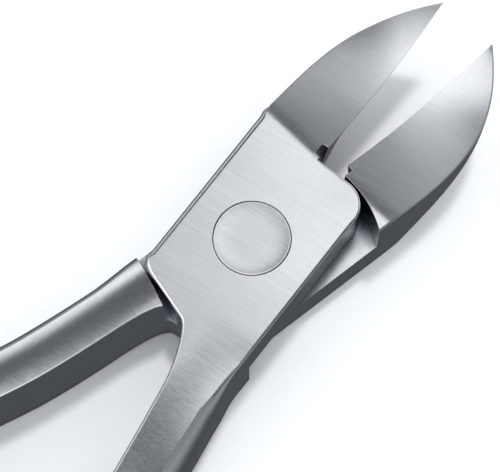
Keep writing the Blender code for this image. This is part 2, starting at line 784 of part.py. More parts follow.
def put_in_place(obj, half):
    """Turn a piece from its half's own frame to the resting, open position."""
    turn = Matrix.Rotation(math.radians(HALF_OPENING), 4, "Z")
    if half is LOWER:
        turn = Matrix.Diagonal((1.0, -1.0, 1.0, 1.0)) @ turn
        obj.data.transform(turn)
        obj.data.flip_normals()
        return
    obj.data.transform(turn)


def set_origin(obj, point):
    """Move the object's origin to a world point and leave the shape where it is."""
    obj.data.transform(Matrix.Translation(-point))
    obj.location = point


def rest_point(half, place):
    """World position at rest of a point given in a half's own frame."""
    point = Matrix.Rotation(math.radians(HALF_OPENING), 4, "Z") @ place
    if half is LOWER:
        point.y = -point.y
    return point


def main():
    clear_scene()
    parts = collection("nail_nipper")
    cutters = collection("cutters")
    body_steel = steel("body_steel", BODY_STEEL)
    rivet_steel = steel("rivet_steel", RIVET_STEEL)
    spring_steel = steel("spring_steel", SPRING_STEEL)
    fastener_steel = steel("fastener_steel", FASTENER_STEEL)

    for half, side in ((UPPER, "upper"), (LOWER, "lower")):
        body = half_body(half, side + "_half", body_steel, parts, cutters)
        blade = leaf(half, "spring_leaf_" + side, half is UPPER, spring_steel, parts, cutters)
        screw = spring_screw(half, "spring_screw_" + side, fastener_steel, parts, cutters)
        for piece in (body, blade, screw):
            put_in_place(piece, half)
        set_origin(blade, rest_point(half, seat_place(half).translation))
    pivot_rivet(rivet_steel, parts)
    arm = catch_arm(body_steel, parts, cutters)
    catch_rivet = headed_pin(UPPER, "catch_rivet", fastener_steel, parts)
    stud = headed_pin(LOWER, "catch_stud", fastener_steel, parts)
    put_in_place(arm, UPPER)
    put_in_place(catch_rivet, UPPER)
    put_in_place(stud, LOWER)
    pivot = catch_point(UPPER)
    set_origin(arm, rest_point(UPPER, Vector((pivot.x * MM, pivot.y * MM, 0.0))))


main()
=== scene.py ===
"""Looks of the nail nipper: finely modelled halves, springs and fittings in brushed steel.

Every shape is designed in millimetres in its half's own frame: +X along the cutting edge,
+Y on the half's own jaw side, jaws closed.  put_in_place() turns it to the rest position
and to metres.
"""

import json
import math

import bmesh
import bpy
import numpy as np
from mathutils import Matrix, Vector
from mathutils.geometry import delaunay_2d_cdt


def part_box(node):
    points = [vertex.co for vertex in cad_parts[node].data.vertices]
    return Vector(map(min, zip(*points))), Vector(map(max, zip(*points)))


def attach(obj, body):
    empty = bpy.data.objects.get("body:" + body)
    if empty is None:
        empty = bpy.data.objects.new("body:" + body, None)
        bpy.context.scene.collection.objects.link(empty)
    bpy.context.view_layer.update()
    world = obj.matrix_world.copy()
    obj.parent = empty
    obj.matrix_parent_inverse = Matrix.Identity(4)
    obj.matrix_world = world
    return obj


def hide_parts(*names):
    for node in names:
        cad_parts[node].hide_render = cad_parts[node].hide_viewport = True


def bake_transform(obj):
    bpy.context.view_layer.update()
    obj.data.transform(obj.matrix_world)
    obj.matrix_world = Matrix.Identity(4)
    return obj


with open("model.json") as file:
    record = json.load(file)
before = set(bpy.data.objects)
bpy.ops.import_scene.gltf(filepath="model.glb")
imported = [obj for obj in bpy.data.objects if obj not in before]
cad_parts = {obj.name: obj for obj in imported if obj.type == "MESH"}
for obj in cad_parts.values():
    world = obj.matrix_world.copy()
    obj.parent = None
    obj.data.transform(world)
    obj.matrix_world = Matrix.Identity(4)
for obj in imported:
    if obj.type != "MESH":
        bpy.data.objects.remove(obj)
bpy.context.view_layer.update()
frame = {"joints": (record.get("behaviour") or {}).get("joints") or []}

MM = 0.001

# ---------- sizes from the frame

JOINTS = {joint["name"]: joint for joint in frame["joints"]}
HALF_OPENING = -JOINTS["jaw_pivot"]["range_deg"][0] / 2
RIVET_LOW, RIVET_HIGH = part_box("pivot_rivet")
RIVET_RADIUS = (RIVET_HIGH.x - RIVET_LOW.x) / 2 / MM
THICKNESS = 10.0
LAP_GAP = 0.08
EDGE_GAP = 0.03
TIP_X = 32.4

# ---------- shape of a half

JAW_START_X = 11.0
JAW_START_SLANT = 0.1
DROP_LENGTH = 2.8
DROP_EASE = 1.1
EDGE_DROP = 0.8
OUTER_DROP = 0.5
EDGE_CLIMB = (18.0, 3.6, 1.9)
OUTER_CLIMB = (24.0, 3.1, 3)
RELIEF_X = 12.05
RELIEF_RADIUS = 0.75
RIDGE_SHARE = 0.35
RIDGE_ROOT_Y = 1.0
WALL_FLAT_END_X = 14.0
FRONT_X = 11.0
FRONT_CORNER_RADIUS = 3.0
REAR_FOOT = (-11.1, 0.35)
REAR_SLOPE = 0.3124
SHOULDER_CENTRE = (-0.4, 2.2)
SHOULDER_RADIUS = 12.25
STEP_INNER = (-11.6, 0.31)
STEP_SLOPE = -0.2308
CUT_REACH = 9.5
HANDLE_WIDTH = 5.7
HANDLE_END_X = -98.0
HANDLE_TAPER = (-40.0, -74.0)
HANDLE_TAIL_SCALE = 0.76
ROUNDING_STEPS = 6
CORNER_STEPS = 14
CREASE_ANGLE = 28.0
FINE_STEP = 0.3
HANDLE_STEP = 0.55
TAIL_STEP = 0.4
RELIEF_STEP = 0.1
RELIEF_SLANT = 0.1
RELIEF_CORNER = 0.2
RELIEF_CORNER_STEP = 0.06
JAW_POINTS = 90
CROTCH_POINTS = 24
BEND_POINTS = 12
HANDLE_START_X = -17.0
CROTCH_PULLS = ((-11.5, -0.6), -14.5)
FRONT_CORNER_Y = -7.0
FAR_EDGE_CHANGE = (-9.0, 0.13)

# (inward, downward) reaches of the rounded edges
CUTTING_EDGE = (0.02, 0.02)
BASE_EDGE = (0.3, 0.3)
JAW_ROOT_EDGE = (0.2, 0.2)
PLATE_EDGE = (0.7, 1.3)
REAR_CORNER_EDGE = (0.45, 0.7)
FRONT_EDGE = (0.22, 0.22)
NECK_EDGE = (0.06, 0.06)
RELIEF_EDGE = (0.05, 0.05)
RELIEF_END_EDGE = (0.04, 0.04)
TAIL_EDGE = (1.2, 1.2)
JOINT_BOTTOM_EDGE = (0.6, 0.6)
HANDLE_BOTTOM_EDGE = (1.1, 2.2)
TAIL_INNER_ROUND = 0.9
JAW_TOP_ROUND = 0.16
JAW_FOOT_ROUND = (0.9, 0.35)

UPPER = {
    "jaw": ((12.5, 7.8), (19.5, 7.45), (28.2, 7.05), (TIP_X, EDGE_GAP)),
    "jaw_side": ((12.0, 8.0), (-9.2, 7.27)),
    "rear_corner": 1.7,
    "far_side": ((8.0, -7.05), (-11.5, -7.5)),
    "handle": ((-11.0, -4.3), (-17.5, -5.55), (-22.0, -6.4), (-27.0, -7.25), (-40.0, -9.4),
               (-55.0, -10.9), (-70.0, -11.0), (-85.0, -9.4), (-98.0, -7.4)),
    "lap_on_top": True,
    # (x, inward, downward, crease) of the outer top edge along the handle
    "outer_round": ((-11.0, 0.3, 0.3, 0.0), (-13.0, 0.5, 0.8, 0.4), (-17.0, 1.3, 3.0, 0.8),
                    (-23.0, 1.7, 4.0, 0.8), (-45.0, 1.8, 3.6, 0.6), (-80.0, 1.8, 2.6, 0.0)),
    "inner_round": 0.28,
    "roll": 0.17,
    "arch": 0.0,
}
LOWER = {
    "jaw": ((14.0, 7.72), (21.5, 7.9), (28.5, 7.0), (TIP_X, EDGE_GAP)),
    "jaw_side": ((12.0, 7.72), (-9.0, 7.3)),
    "rear_corner": 3.2,
    "far_side": ((8.0, -6.95), (-10.5, -6.9)),
    "handle": ((-11.0, -3.55), (-17.5, -4.05), (-23.0, -4.6), (-27.0, -5.2), (-40.0, -8.0),
               (-55.0, -10.3), (-70.0, -10.8), (-85.0, -9.4), (-98.0, -7.4)),
    "lap_on_top": False,
    "outer_round": ((-9.0, 0.9, 1.2, 0.0), (-17.0, 0.9, 1.4, 0.0), (-45.0, 1.2, 1.6, 0.0),
                    (-80.0, 1.8, 2.6, 0.0)),
    "inner_round": 0.16,
    "roll": 0.0,
    "arch": 8.7,
}
ROLL_START_X = -8.0
ROLL_FULL_X = -24.0
ROLL_FADE_X = (-66.0, -84.0)


def lerp(a, b, t):
    return a + (b - a) * t


def smooth(t):
    t = min(max(t, 0.0), 1.0)
    return t * t * (3.0 - 2.0 * t)


def bezier(control, t):
    a, b, c, d = (Vector(p) for p in control)
    u = 1.0 - t
    return a * u ** 3 + b * 3 * u * u * t + c * 3 * u * t * t + d * t ** 3


def arc_points(centre, radius, start, end, steps):
    angles = [lerp(start, end, i / steps) for i in range(steps + 1)]
    return [(centre[0] + radius * math.cos(a), centre[1] + radius * math.sin(a)) for a in angles]


def spline_y(points, x):
    """Height at x of the smooth line through points whose x falls steadily."""
    count = len(points)
    i = 0
    while i < count - 2 and x < points[i + 1][0]:
        i += 1
    p0, p1, p2, p3 = (points[min(max(k, 0), count - 1)] for k in (i - 1, i, i + 1, i + 2))
    t = (x - p1[0]) / (p2[0] - p1[0])
    span = p2[0] - p1[0]
    m1 = (p2[1] - p0[1]) / (p2[0] - p0[0]) * span
    m2 = (p3[1] - p1[1]) / (p3[0] - p1[0]) * span
    h = t * t * (3.0 - 2.0 * t)
    return (1.0 - h) * p1[1] + h * p2[1] + t * (1 - t) * ((1 - t) * m1 - t * m2)


def handle_y(half, x):
    return spline_y(half["handle"], x)


def handle_scale(x):
    t = (HANDLE_TAPER[0] - x) / (HANDLE_TAPER[0] - HANDLE_TAPER[1])
    return lerp(1.0, HANDLE_TAIL_SCALE, smooth(t))


def handle_direction(half, x):
    step = 0.5
    return Vector((-2 * step, handle_y(half, x - step) - handle_y(half, x + step))).normalized()


def handle_side(half, x, inner):
    """Point on the inner or outer side of the handle beside its middle line at x."""
    along = handle_direction(half, x)
    inward = Vector((along.y, -along.x))
    reach = HANDLE_WIDTH / 2 * handle_scale(x) * (1 if inner else -1)
    return Vector((x, handle_y(half, x))) + inward * reach


# ---------- heights

def jaw_outer_y(half, x):
    """Width of the jaw at x, from its outer line."""
    if "jaw_table" not in half:
        points = [bezier(half["jaw"], i / 200) for i in range(201)]
        half["jaw_table"] = ([p.x for p in points], [p.y for p in points])
    return float(np.interp(x, *half["jaw_table"]))


def drop(x, start):
    """Share of the quick drop just ahead of the plate that has happened by x."""
    along = max(x - start, 0.0)
    return 1.0 - math.exp(-along * along / (along + DROP_EASE) / DROP_LENGTH)


def climb(x, start, height, power):
    """Climb towards the tip from start: height times a power of the share of the way."""
    return height * max((x - start) / (TIP_X - start), 0.0) ** power


def edge_z(x, start=JAW_START_X):
    """Cutting edge: a quick drop ahead of the plate, then a long curve up to the tip."""
    return THICKNESS - EDGE_DROP * drop(x, start) + climb(x, *EDGE_CLIMB)


def outer_z(x, start=JAW_START_X):
    """Outer top edge of the jaw, which climbs only near the tip."""
    return THICKNESS - OUTER_DROP * drop(x, start) + climb(x, *OUTER_CLIMB)


def tail_fade(x):
    """1 along the handle, falling to 0 before its tail."""
    return 1.0 - smooth((ROLL_FADE_X[0] - x) / (ROLL_FADE_X[0] - ROLL_FADE_X[1]))


def crown(half, x, y):
    """How far the handle's top lies below its inner edge at a point."""
    if x > ROLL_START_X and half["lap_on_top"]:
        return 0.0
    across = max(handle_side(half, x, True).y - y, 0.0)
    if half["arch"]:
        radius = half["arch"]
        across = min(across, 0.8 * radius)
        fall = radius - math.sqrt(radius * radius - across * across)
        return fall * tail_fade(x) * smooth((-4.0 - x) / 3.0)
    grow = smooth((ROLL_START_X - x) / (ROLL_START_X - ROLL_FULL_X))
    return half["roll"] * across * (grow * tail_fade(x))


def handle_top(x):
    return THICKNESS / 2 * (1.0 + handle_scale(x))


def top_z(half, x, y):
    if x > JAW_START_X:
        start = JAW_START_X + JAW_START_SLANT * max(y, 0.0)
        share = min(max(y / max(jaw_outer_y(half, x), 0.05), 0.0), 1.0)
        return lerp(edge_z(x, start), outer_z(x, start), share)
    if x > -3.0:
        return THICKNESS
    return handle_top(x) - crown(half, x, y)


def jaw_share(x):
    return min(max((x - WALL_FLAT_END_X) / (TIP_X - WALL_FLAT_END_X), 0.0), 1.0)


def thinness(half, x):
    return 0.1 + lerp(1.0, 0.5, jaw_share(x)) * jaw_outer_y(half, x)


def jaw_foot(half, x):
    """Height of the outer wall's lower edge."""
    top = outer_z(x)
    foot = max(top * jaw_share(x) ** 0.9 * 0.985, top - 2 * thinness(half, x))
    return min(foot, top - 0.1)


def ridge(half, x):
    """Underside ridge of the jaw between the ground back face and the belly: (y, z)."""
    t = jaw_share(x)
    y = lerp(RIDGE_ROOT_Y, jaw_outer_y(half, x) * RIDGE_SHARE, smooth(4 * t))
    return y, max(edge_z(x) * t ** 2 * 0.9, edge_z(x) - thinness(half, x))


def bottom_round(x):
    """Rounding under a half's outer edge, small at the joint and full on the handle."""
    share = smooth((-11.0 - x) / 14.0)
    return [lerp(*ends, share) for ends in zip(JOINT_BOTTOM_EDGE, HANDLE_BOTTOM_EDGE)]


def bottom_z(half, x, y):
    if x > JAW_START_X:
        ridge_y, ridge_z = ridge(half, x)
        outer = max(jaw_outer_y(half, x), 0.05)
        if y > ridge_y:
            share = min((y - ridge_y) / max(outer - ridge_y, 0.01), 1.0)
            low = lerp(ridge_z, jaw_foot(half, x), share ** 1.4)
        else:
            share = min(max((y - EDGE_GAP) / max(ridge_y - EDGE_GAP, 0.01), 0.0), 1.0)
            low = lerp(edge_z(x) - 0.1, ridge_z, share)
            low *= smooth((x - JAW_START_X - 0.4) / 0.5)
        return min(low, top_z(half, x, y) - 0.08)
    if x > -14.0:
        return 0.0
    return THICKNESS / 2 * (1.0 - handle_scale(x))


# ---------- plan outline

class Outline:
    """Points of a closed line, each with the rounding of its top and bottom edges."""

    def __init__(self):
        self.points = []
        self.round = []

    def add(self, point, top, bottom=None):
        """top and bottom are (inward, downward) reaches of the rounded edge.

        A third number of top, from 0 to 1, leaves a crease where the rounding meets the top.
        """
        bottom = bottom or top
        crease = top[2] if len(top) > 2 else 0.0
        near = [self.points[i] for i in (0, -1) if self.points]
        if any(math.dist(point[:2], other) < 0.02 for other in near):
            return
        self.points.append((point[0], point[1]))
        self.round.append((top[0], top[1], bottom[0], bottom[1], crease))

    def add_all(self, points, top, bottom=None):
        for point in points:
            self.add(point, top, bottom)

    def line(self, start, end, step, top, bottom=None):
        start, end = Vector(start), Vector(end)
        count = max(int((end - start).length / step), 1)
        self.add_all([start.lerp(end, i / count) for i in range(count + 1)], top, bottom)

    def arc(self, centre, radius, start, end, step, top, bottom=None):
        count = max(int(abs(end - start) * radius / step), 4)
        self.add_all(arc_points(centre, radius, start, end, count), top, bottom)

    def arrays(self):
        points = np.array(self.points)
        rounds = np.array(self.round)
        for _ in range(3):
            rounds = (np.roll(rounds, 1, 0) + 2 * rounds + np.roll(rounds, -1, 0)) / 4
        return points, rounds


def corner_points(before, corner, after, radius):
    """Points of the arc that rounds a corner between two straight lines."""
    to_before = (Vector(before) - Vector(corner)).normalized()
    to_after = (Vector(after) - Vector(corner)).normalized()
    half = to_before.angle(to_after) / 2.0
    start = Vector(corner) + to_before * (radius / math.tan(half))
    end = Vector(corner) + to_after * (radius / math.tan(half))
    centre = Vector(corner) + (to_before + to_after).normalized() * (radius / math.sin(half))
    out = []
    for i in range(CORNER_STEPS + 1):
        chord = start.lerp(end, i / CORNER_STEPS) - centre
        out.append(centre + chord.normalized() * radius)
    return out


def outer_round(half, x):
    table = half["outer_round"]
    xs = [-row[0] for row in table]
    return [float(np.interp(-x, xs, [row[k] for row in table])) for k in (1, 2, 3)]


def add_jaw(out, half):
    """The cutting edge out to the tip and the jaw's outer line back to the plate."""
    out.line((RELIEF_X + RELIEF_RADIUS, EDGE_GAP), (TIP_X - 0.3, EDGE_GAP), FINE_STEP,
             CUTTING_EDGE)
    for i in range(JAW_POINTS + 1):
        point = bezier(half["jaw"], 1.0 - i / JAW_POINTS)
        wall = top_z(half, point.x, point.y) - jaw_foot(half, point.x)
        foot = lerp(*JAW_FOOT_ROUND, smooth((18.0 - point.x) / 5.0))
        slim = 0.02 + 0.2 * max(point.y - 0.5, 0.0)
        foot = min(foot, 0.4 * wall, slim)
        top = min(JAW_TOP_ROUND, 0.3 * wall, slim)
        out.add(point, (top, top), (foot, foot))


def add_plate_side(out, half):
    """The plate's side from the jaw, round its rear corner and down to the crotch."""
    front, rear = half["jaw_side"]
    rear_top = (REAR_FOOT[0] + (rear[1] - REAR_FOOT[1]) * REAR_SLOPE, rear[1])
    corner = corner_points(front, rear_top, REAR_FOOT, half["rear_corner"])
    side_edge = PLATE_EDGE if half["lap_on_top"] else JAW_ROOT_EDGE
    out.line(half["jaw"][0], front, FINE_STEP, JAW_ROOT_EDGE, BASE_EDGE)
    out.line(front, corner[0], FINE_STEP, side_edge, BASE_EDGE)
    out.add_all(corner, REAR_CORNER_EDGE, BASE_EDGE)
    out.line(Vector(out.points[-1]), REAR_FOOT, FINE_STEP, BASE_EDGE, BASE_EDGE)
    soft = half["inner_round"]
    pull, pull_x = CROTCH_PULLS
    inner = [tuple(handle_side(half, x, True)) for x in (pull_x, HANDLE_START_X)]
    crotch = [bezier((REAR_FOOT, pull, *inner), i / CROTCH_POINTS)
              for i in range(CROTCH_POINTS + 1)]
    out.add_all(crotch, (soft, soft), BASE_EDGE)


def add_handle(out, half):
    """The handle's inner side, its rounded tail and its outer side."""
    tail_x = HANDLE_END_X + HANDLE_WIDTH / 2 * HANDLE_TAIL_SCALE
    x = HANDLE_START_X
    while x > tail_x:
        grow = lerp(half["inner_round"], TAIL_INNER_ROUND, smooth((-40.0 - x) / 30.0))
        out.add(handle_side(half, x, True), (grow, grow), (grow, grow))
        x -= HANDLE_STEP
    centre = Vector((tail_x, handle_y(half, tail_x)))
    first = handle_side(half, tail_x, True) - centre
    angle = math.atan2(first.y, first.x)
    out.arc(centre, first.length, angle, angle + math.pi, TAIL_STEP, TAIL_EDGE)
    x = tail_x
    while x < HANDLE_START_X:
        out.add(handle_side(half, x, False), outer_round(half, x), bottom_round(x))
        x += HANDLE_STEP
    join = handle_side(half, HANDLE_START_X, False)
    out.add(join, outer_round(half, HANDLE_START_X), bottom_round(HANDLE_START_X))


def add_far_side(out, half):
    """The bend from the handle into the joint's far side, and that side up to the front."""
    front, rear = half["far_side"]
    join = handle_side(half, HANDLE_START_X, False)
    bend = (tuple(join), tuple(join + Vector((2.0, 0.25))), (rear[0] - 2.0, rear[1]), rear)
    for i in range(1, BEND_POINTS + 1):
        point = bezier(bend, i / BEND_POINTS)
        out.add(point, outer_round(half, point.x), bottom_round(point.x))
    change_x, change_share = FAR_EDGE_CHANGE
    change = (change_x, lerp(rear[1], front[1], change_share))
    top = outer_round(half, -11.0 if half["lap_on_top"] else -9.0)
    out.line(rear, change, FINE_STEP, top, BASE_EDGE)
    out.line(change, Vector(front) + Vector((-0.3, 0.0)), FINE_STEP, BASE_EDGE, BASE_EDGE)
    corner = corner_points(front, (FRONT_X, FRONT_CORNER_Y), (FRONT_X, 0.0),
                           FRONT_CORNER_RADIUS)
    out.add_all(corner, FRONT_EDGE, BASE_EDGE)
    out.line(corner[-1], (FRONT_X, EDGE_GAP - 0.2), FINE_STEP, FRONT_EDGE, BASE_EDGE)


def add_relief(out):
    """The short neck behind the cutting edge and the square relief that ends it."""
    left, right = RELIEF_X - RELIEF_RADIUS, RELIEF_X + RELIEF_RADIUS
    deep = EDGE_GAP + RELIEF_RADIUS - RELIEF_CORNER
    out.line((FRONT_X, EDGE_GAP), (left, EDGE_GAP), RELIEF_STEP, NECK_EDGE)
    out.line((left, EDGE_GAP), (left + RELIEF_SLANT, deep), RELIEF_STEP, RELIEF_EDGE)
    out.arc((left + RELIEF_SLANT + RELIEF_CORNER, deep), RELIEF_CORNER, math.pi, math.pi / 2,
            RELIEF_CORNER_STEP, RELIEF_EDGE)
    out.arc((right - RELIEF_CORNER, deep), RELIEF_CORNER, math.pi / 2, 0.0,
            RELIEF_CORNER_STEP, RELIEF_EDGE)
    out.line((right, deep), (right, EDGE_GAP), RELIEF_STEP, RELIEF_END_EDGE)


def half_outline(half):
    out = Outline()
    add_jaw(out, half)
    add_plate_side(out, half)
    add_handle(out, half)
    add_far_side(out, half)
    add_relief(out)
    return out.arrays()


# ---------- solid from an outline

WALL_INSET = 0.12
MERGE_REACH = 0.0005
DEGENERATE_REACH = 0.0002
# (spacing, distance kept from the loop) of the points that fill a flat
WIDE_FILL = (0.9, 0.5)
FINE_FILL = (0.42, 0.28)
FINE_FILL_X = -16.0


def inward_normals(points):
    before = points - np.roll(points, 1, 0)
    after = np.roll(points, -1, 0) - points
    before /= np.linalg.norm(before, axis=1)[:, None]
    after /= np.linalg.norm(after, axis=1)[:, None]
    sides = np.c_[-before[:, 1], before[:, 0]] + np.c_[-after[:, 1], after[:, 0]]
    length = np.linalg.norm(sides, axis=1)
    sides /= length[:, None]
    stretch = np.minimum(2.0 / np.maximum(length, 0.2), 1.5)
    return sides * stretch[:, None]


def inside(points, loop):
    """Which points lie inside the closed loop."""
    x, y = points[:, 0][:, None], points[:, 1][:, None]
    x0, y0 = loop[:, 0], loop[:, 1]
    x1, y1 = np.roll(x0, -1), np.roll(y0, -1)
    crosses = (y0 > y) != (y1 > y)
    run = (x1 - x0) * (y - y0) / np.where(y1 == y0, 1e-12, y1 - y0) + x0
    return (np.sum(crosses & (x < run), axis=1) % 2) == 1


def fill_points(loop, spacing, clear):
    """A staggered grid of points inside the loop, clear of its line."""
    low, high = loop.min(0), loop.max(0)
    rows = []
    y = low[1]
    odd = False
    while y < high[1]:
        xs = np.arange(low[0] + (spacing / 2 if odd else 0.0), high[0], spacing)
        rows.append(np.c_[xs, np.full(len(xs), y)])
        y += spacing * 0.87
        odd = not odd
    grid = np.concatenate(rows)
    grid = grid[inside(grid, loop)]
    gaps = np.array([np.min(np.hypot(*(loop - p).T)) for p in grid])
    return grid[gaps > clear]


def left_of_ring(triangles, ring):
    """The triangles on the ring's left, found by walking inward from its own edges."""
    owner = {}
    for number, triangle in enumerate(triangles):
        for k in range(3):
            owner[triangle[k], triangle[(k + 1) % 3]] = number
    edges = list(zip(ring, ring[1:] + ring[:1]))
    walls = set(edges) | {(b, a) for a, b in edges}
    found = {owner[edge] for edge in edges if edge in owner}
    queue = sorted(found)
    while queue:
        triangle = triangles[queue.pop()]
        for k in range(3):
            across = (triangle[(k + 1) % 3], triangle[k])
            other = owner.get(across)
            if across not in walls and other is not None and other not in found:
                found.add(other)
                queue.append(other)
    return [triangles[number] for number in sorted(found)]


def fill(loop, extra_lines):
    """Triangles over the loop's inside: points, index triples and each point's sources."""
    wide = fill_points(loop, *WIDE_FILL)
    fine = fill_points(loop, *FINE_FILL)
    wide = wide[wide[:, 0] < FINE_FILL_X]
    fine = fine[fine[:, 0] >= FINE_FILL_X]
    points = [tuple(p) for p in (*loop, *wide, *fine)]
    edges = [(i, (i + 1) % len(loop)) for i in range(len(loop))]
    for line in extra_lines:
        start = len(points)
        points += [tuple(p) for p in line]
        edges += [(start + i, start + i + 1) for i in range(len(line) - 1)]
    result = delaunay_2d_cdt([Vector(p) for p in points], edges, [], 1, 1e-6, True)
    flat = np.array([tuple(p) for p in result[0]])
    place_of = {}
    for index, origins in enumerate(result[3]):
        for origin in origins:
            place_of[origin] = index
    ring = [place_of[i] for i in range(len(loop))]
    triangles = [tuple(t) for t in result[2]]
    return flat, left_of_ring(triangles, ring), result[3]


def edge_loops(points, rounds, top):
    """Loops from the outline inward over the rounded edge: list of (xy, height drop)."""
    normals = inward_normals(points)
    column = 0 if top else 2
    inward, down = rounds[:, column], rounds[:, column + 1]
    crease = rounds[:, 4] if top else np.zeros(len(points))
    reach = np.radians(90.0 - CREASE_ANGLE * crease)
    loops = []
    for k in range(ROUNDING_STEPS + 1):
        a = reach * k / ROUNDING_STEPS
        across = inward * (1.0 - np.cos(a)) / (1.0 - np.cos(reach))
        xy = points + normals * across[:, None]
        loops.append((xy, down * (1.0 - np.sin(a) / np.sin(reach))))
    xy = points + normals * (inward * 1.06 + 0.02)[:, None]
    loops.append((xy, np.zeros(len(points))))
    return loops


def rounded_loops(half, points, rounds, is_top):
    """Loops of one rounded edge with their heights, from the wall inward: (xy, heights)."""
    surface = top_z if is_top else bottom_z
    depth = np.maximum(rounds[:, 1 if is_top else 3], 1e-6)
    base = np.array([surface(half, x, y) for x, y in points])
    loops = []
    for xy, sunk in edge_loops(points, rounds, is_top):
        here = np.array([surface(half, x, y) for x, y in xy])
        blend = np.clip(1.0 - sunk / depth, 0, 1)
        level = base * (1 - blend) + here * blend
        loops.append((xy, level - sunk if is_top else level + sunk))
    return loops


class Shell:
    """Vertices and faces of a closed solid, built up loop by loop."""

    def __init__(self):
        self.vertices = []
        self.faces = []

    def add_loop(self, xy, heights):
        """Add the loop's vertices and return their numbers."""
        start = len(self.vertices)
        self.vertices += [(x, y, z) for (x, y), z in zip(xy, heights)]
        return range(start, len(self.vertices))

    def cap(self, numbers, xy, lines, surface, flip):
        """Close the loop of numbered vertices with triangles on the surface."""
        flat, triangles, origins = fill(xy, lines)
        index = []
        for point, origin in zip(flat, origins):
            on_loop = [o for o in origin if o < len(xy)]
            if on_loop:
                index.append(numbers[on_loop[0]])
                continue
            index.append(len(self.vertices))
            self.vertices.append((point[0], point[1], surface(*point)))
        for triangle in triangles:
            mapped = [index[i] for i in triangle]
            self.faces.append(tuple(mapped[::-1] if flip else mapped))

    def merged_object(self, name):
        mesh = bpy.data.meshes.new(name)
        mesh.from_pydata(self.vertices, [], self.faces)
        mesh.validate()
        shape = bmesh.new()
        shape.from_mesh(mesh)
        bmesh.ops.remove_doubles(shape, verts=shape.verts, dist=MERGE_REACH)
        bmesh.ops.dissolve_degenerate(shape, edges=shape.edges, dist=DEGENERATE_REACH)
        shape.to_mesh(mesh)
        shape.free()
        return new_object(name, mesh)


def solid_from_outline(name, half, points, rounds, bottom_lines):
    shell = Shell()
    top = rounded_loops(half, points, rounds, True)
    bottom = rounded_loops(half, points, rounds, False)
    top_rings = [shell.add_loop(*loop) for loop in top]
    bottom_rings = [shell.add_loop(*loop) for loop in bottom]
    high, low = top[0][1], bottom[0][1]
    gap = np.minimum(WALL_INSET, 0.3 * (high - low))
    wall_rings = [shell.add_loop(points, row) for row in (low + gap, high - gap)]
    chain = bottom_rings[::-1] + wall_rings + top_rings
    for first, second in zip(chain, chain[1:]):
        shell.faces += quads(first, second)
    shell.cap(top_rings[-1], top[-1][0], [], lambda x, y: top_z(half, x, y), False)
    shell.cap(bottom_rings[-1], bottom[-1][0], bottom_lines,
              lambda x, y: bottom_z(half, x, y), True)
    return shell.merged_object(name)


# ---------- mesh helpers

SOFTEN_ANGLE = 40.0
SHARP_ANGLE = 32.0


def new_object(name, data):
    obj = bpy.data.objects.new(name, data)
    bpy.context.scene.collection.objects.link(obj)
    return obj


def outward_object(name, shape):
    """The built shape as an object, its faces turned outward."""
    bmesh.ops.recalc_face_normals(shape, faces=shape.faces)
    mesh = bpy.data.meshes.new(name)
    shape.to_mesh(mesh)
    shape.free()
    return new_object(name, mesh)


def quads(first, second):
    """The corners of each face between two closed rings of equal length."""
    turned = [(*ring[1:], ring[0]) for ring in (first, second)]
    return list(zip(first, *turned, second))


def prism(name, outline, low, high):
    """A closed prism over a flat outline, from height low to height high."""
    shape = bmesh.new()
    bottom = [shape.verts.new((x, y, low)) for x, y in outline]
    top = [shape.verts.new((x, y, high)) for x, y in outline]
    shape.faces.new(bottom[::-1])
    shape.faces.new(top)
    for corners in quads(bottom, top):
        shape.faces.new(corners)
    return outward_object(name, shape)


def lathe(name, profile, place=Matrix.Identity(4), steps=96):
    """A solid turned about Z from (radius, height) pairs, top to bottom, both ends at 0."""
    shape = bmesh.new()
    rings = []
    for radius, height in profile:
        if radius < 1e-6:
            rings.append([shape.verts.new((0.0, 0.0, height))])
            continue
        ring = []
        for i in range(steps):
            a = 2 * math.pi * i / steps
            ring.append(shape.verts.new((radius * math.cos(a), radius * math.sin(a), height)))
        rings.append(ring)
    for upper, lower in zip(rings, rings[1:]):
        for i in range(steps):
            n = (i + 1) % steps
            quad = [upper[i % len(upper)], lower[i % len(lower)],
                    lower[n % len(lower)], upper[n % len(upper)]]
            face = list(dict.fromkeys(quad))
            if len(face) > 2:
                shape.faces.new(face)
    bmesh.ops.transform(shape, matrix=place, verts=shape.verts)
    return outward_object(name, shape)


def block(name, size, place):
    """A cutter: a box of the given size, centred, then moved by the matrix place."""
    half = [value / 2 for value in size]
    outline = [(-half[0], -half[1]), (half[0], -half[1]), (half[0], half[1]), (-half[0], half[1])]
    obj = prism(name, outline, -half[2], half[2])
    obj.data.transform(place)
    return obj


def cut(target, *tools):
    """Subtract the tools from the target and remove them."""
    for tool in tools:
        modifier = target.modifiers.new("cut", "BOOLEAN")
        modifier.operation = "DIFFERENCE"
        modifier.solver = "EXACT"
        modifier.object = tool
    apply_modifiers(target)
    for tool in tools:
        bpy.data.objects.remove(tool, do_unlink=True)


def apply_modifiers(obj):
    bpy.context.view_layer.update()
    graph = bpy.context.evaluated_depsgraph_get()
    mesh = bpy.data.meshes.new_from_object(obj.evaluated_get(graph))
    obj.modifiers.clear()
    obj.data = mesh


def soften(obj, width):
    """Round the piece's sharp edges by width."""
    modifier = obj.modifiers.new("soften", "BEVEL")
    modifier.width = width
    modifier.segments = 3
    modifier.limit_method = "ANGLE"
    modifier.angle_limit = math.radians(SOFTEN_ANGLE)
    apply_modifiers(obj)


def put_in_place(obj, half):
    """From a half's own frame in millimetres to the rest position in metres."""
    turn = Matrix.Rotation(math.radians(HALF_OPENING), 4, "Z") if half else Matrix.Identity(4)
    obj.data.transform(Matrix.Scale(MM, 4) @ turn)
    if half is LOWER:
        obj.data.transform(Matrix.Diagonal((1.0, -1.0, 1.0, 1.0)))
        obj.data.flip_normals()


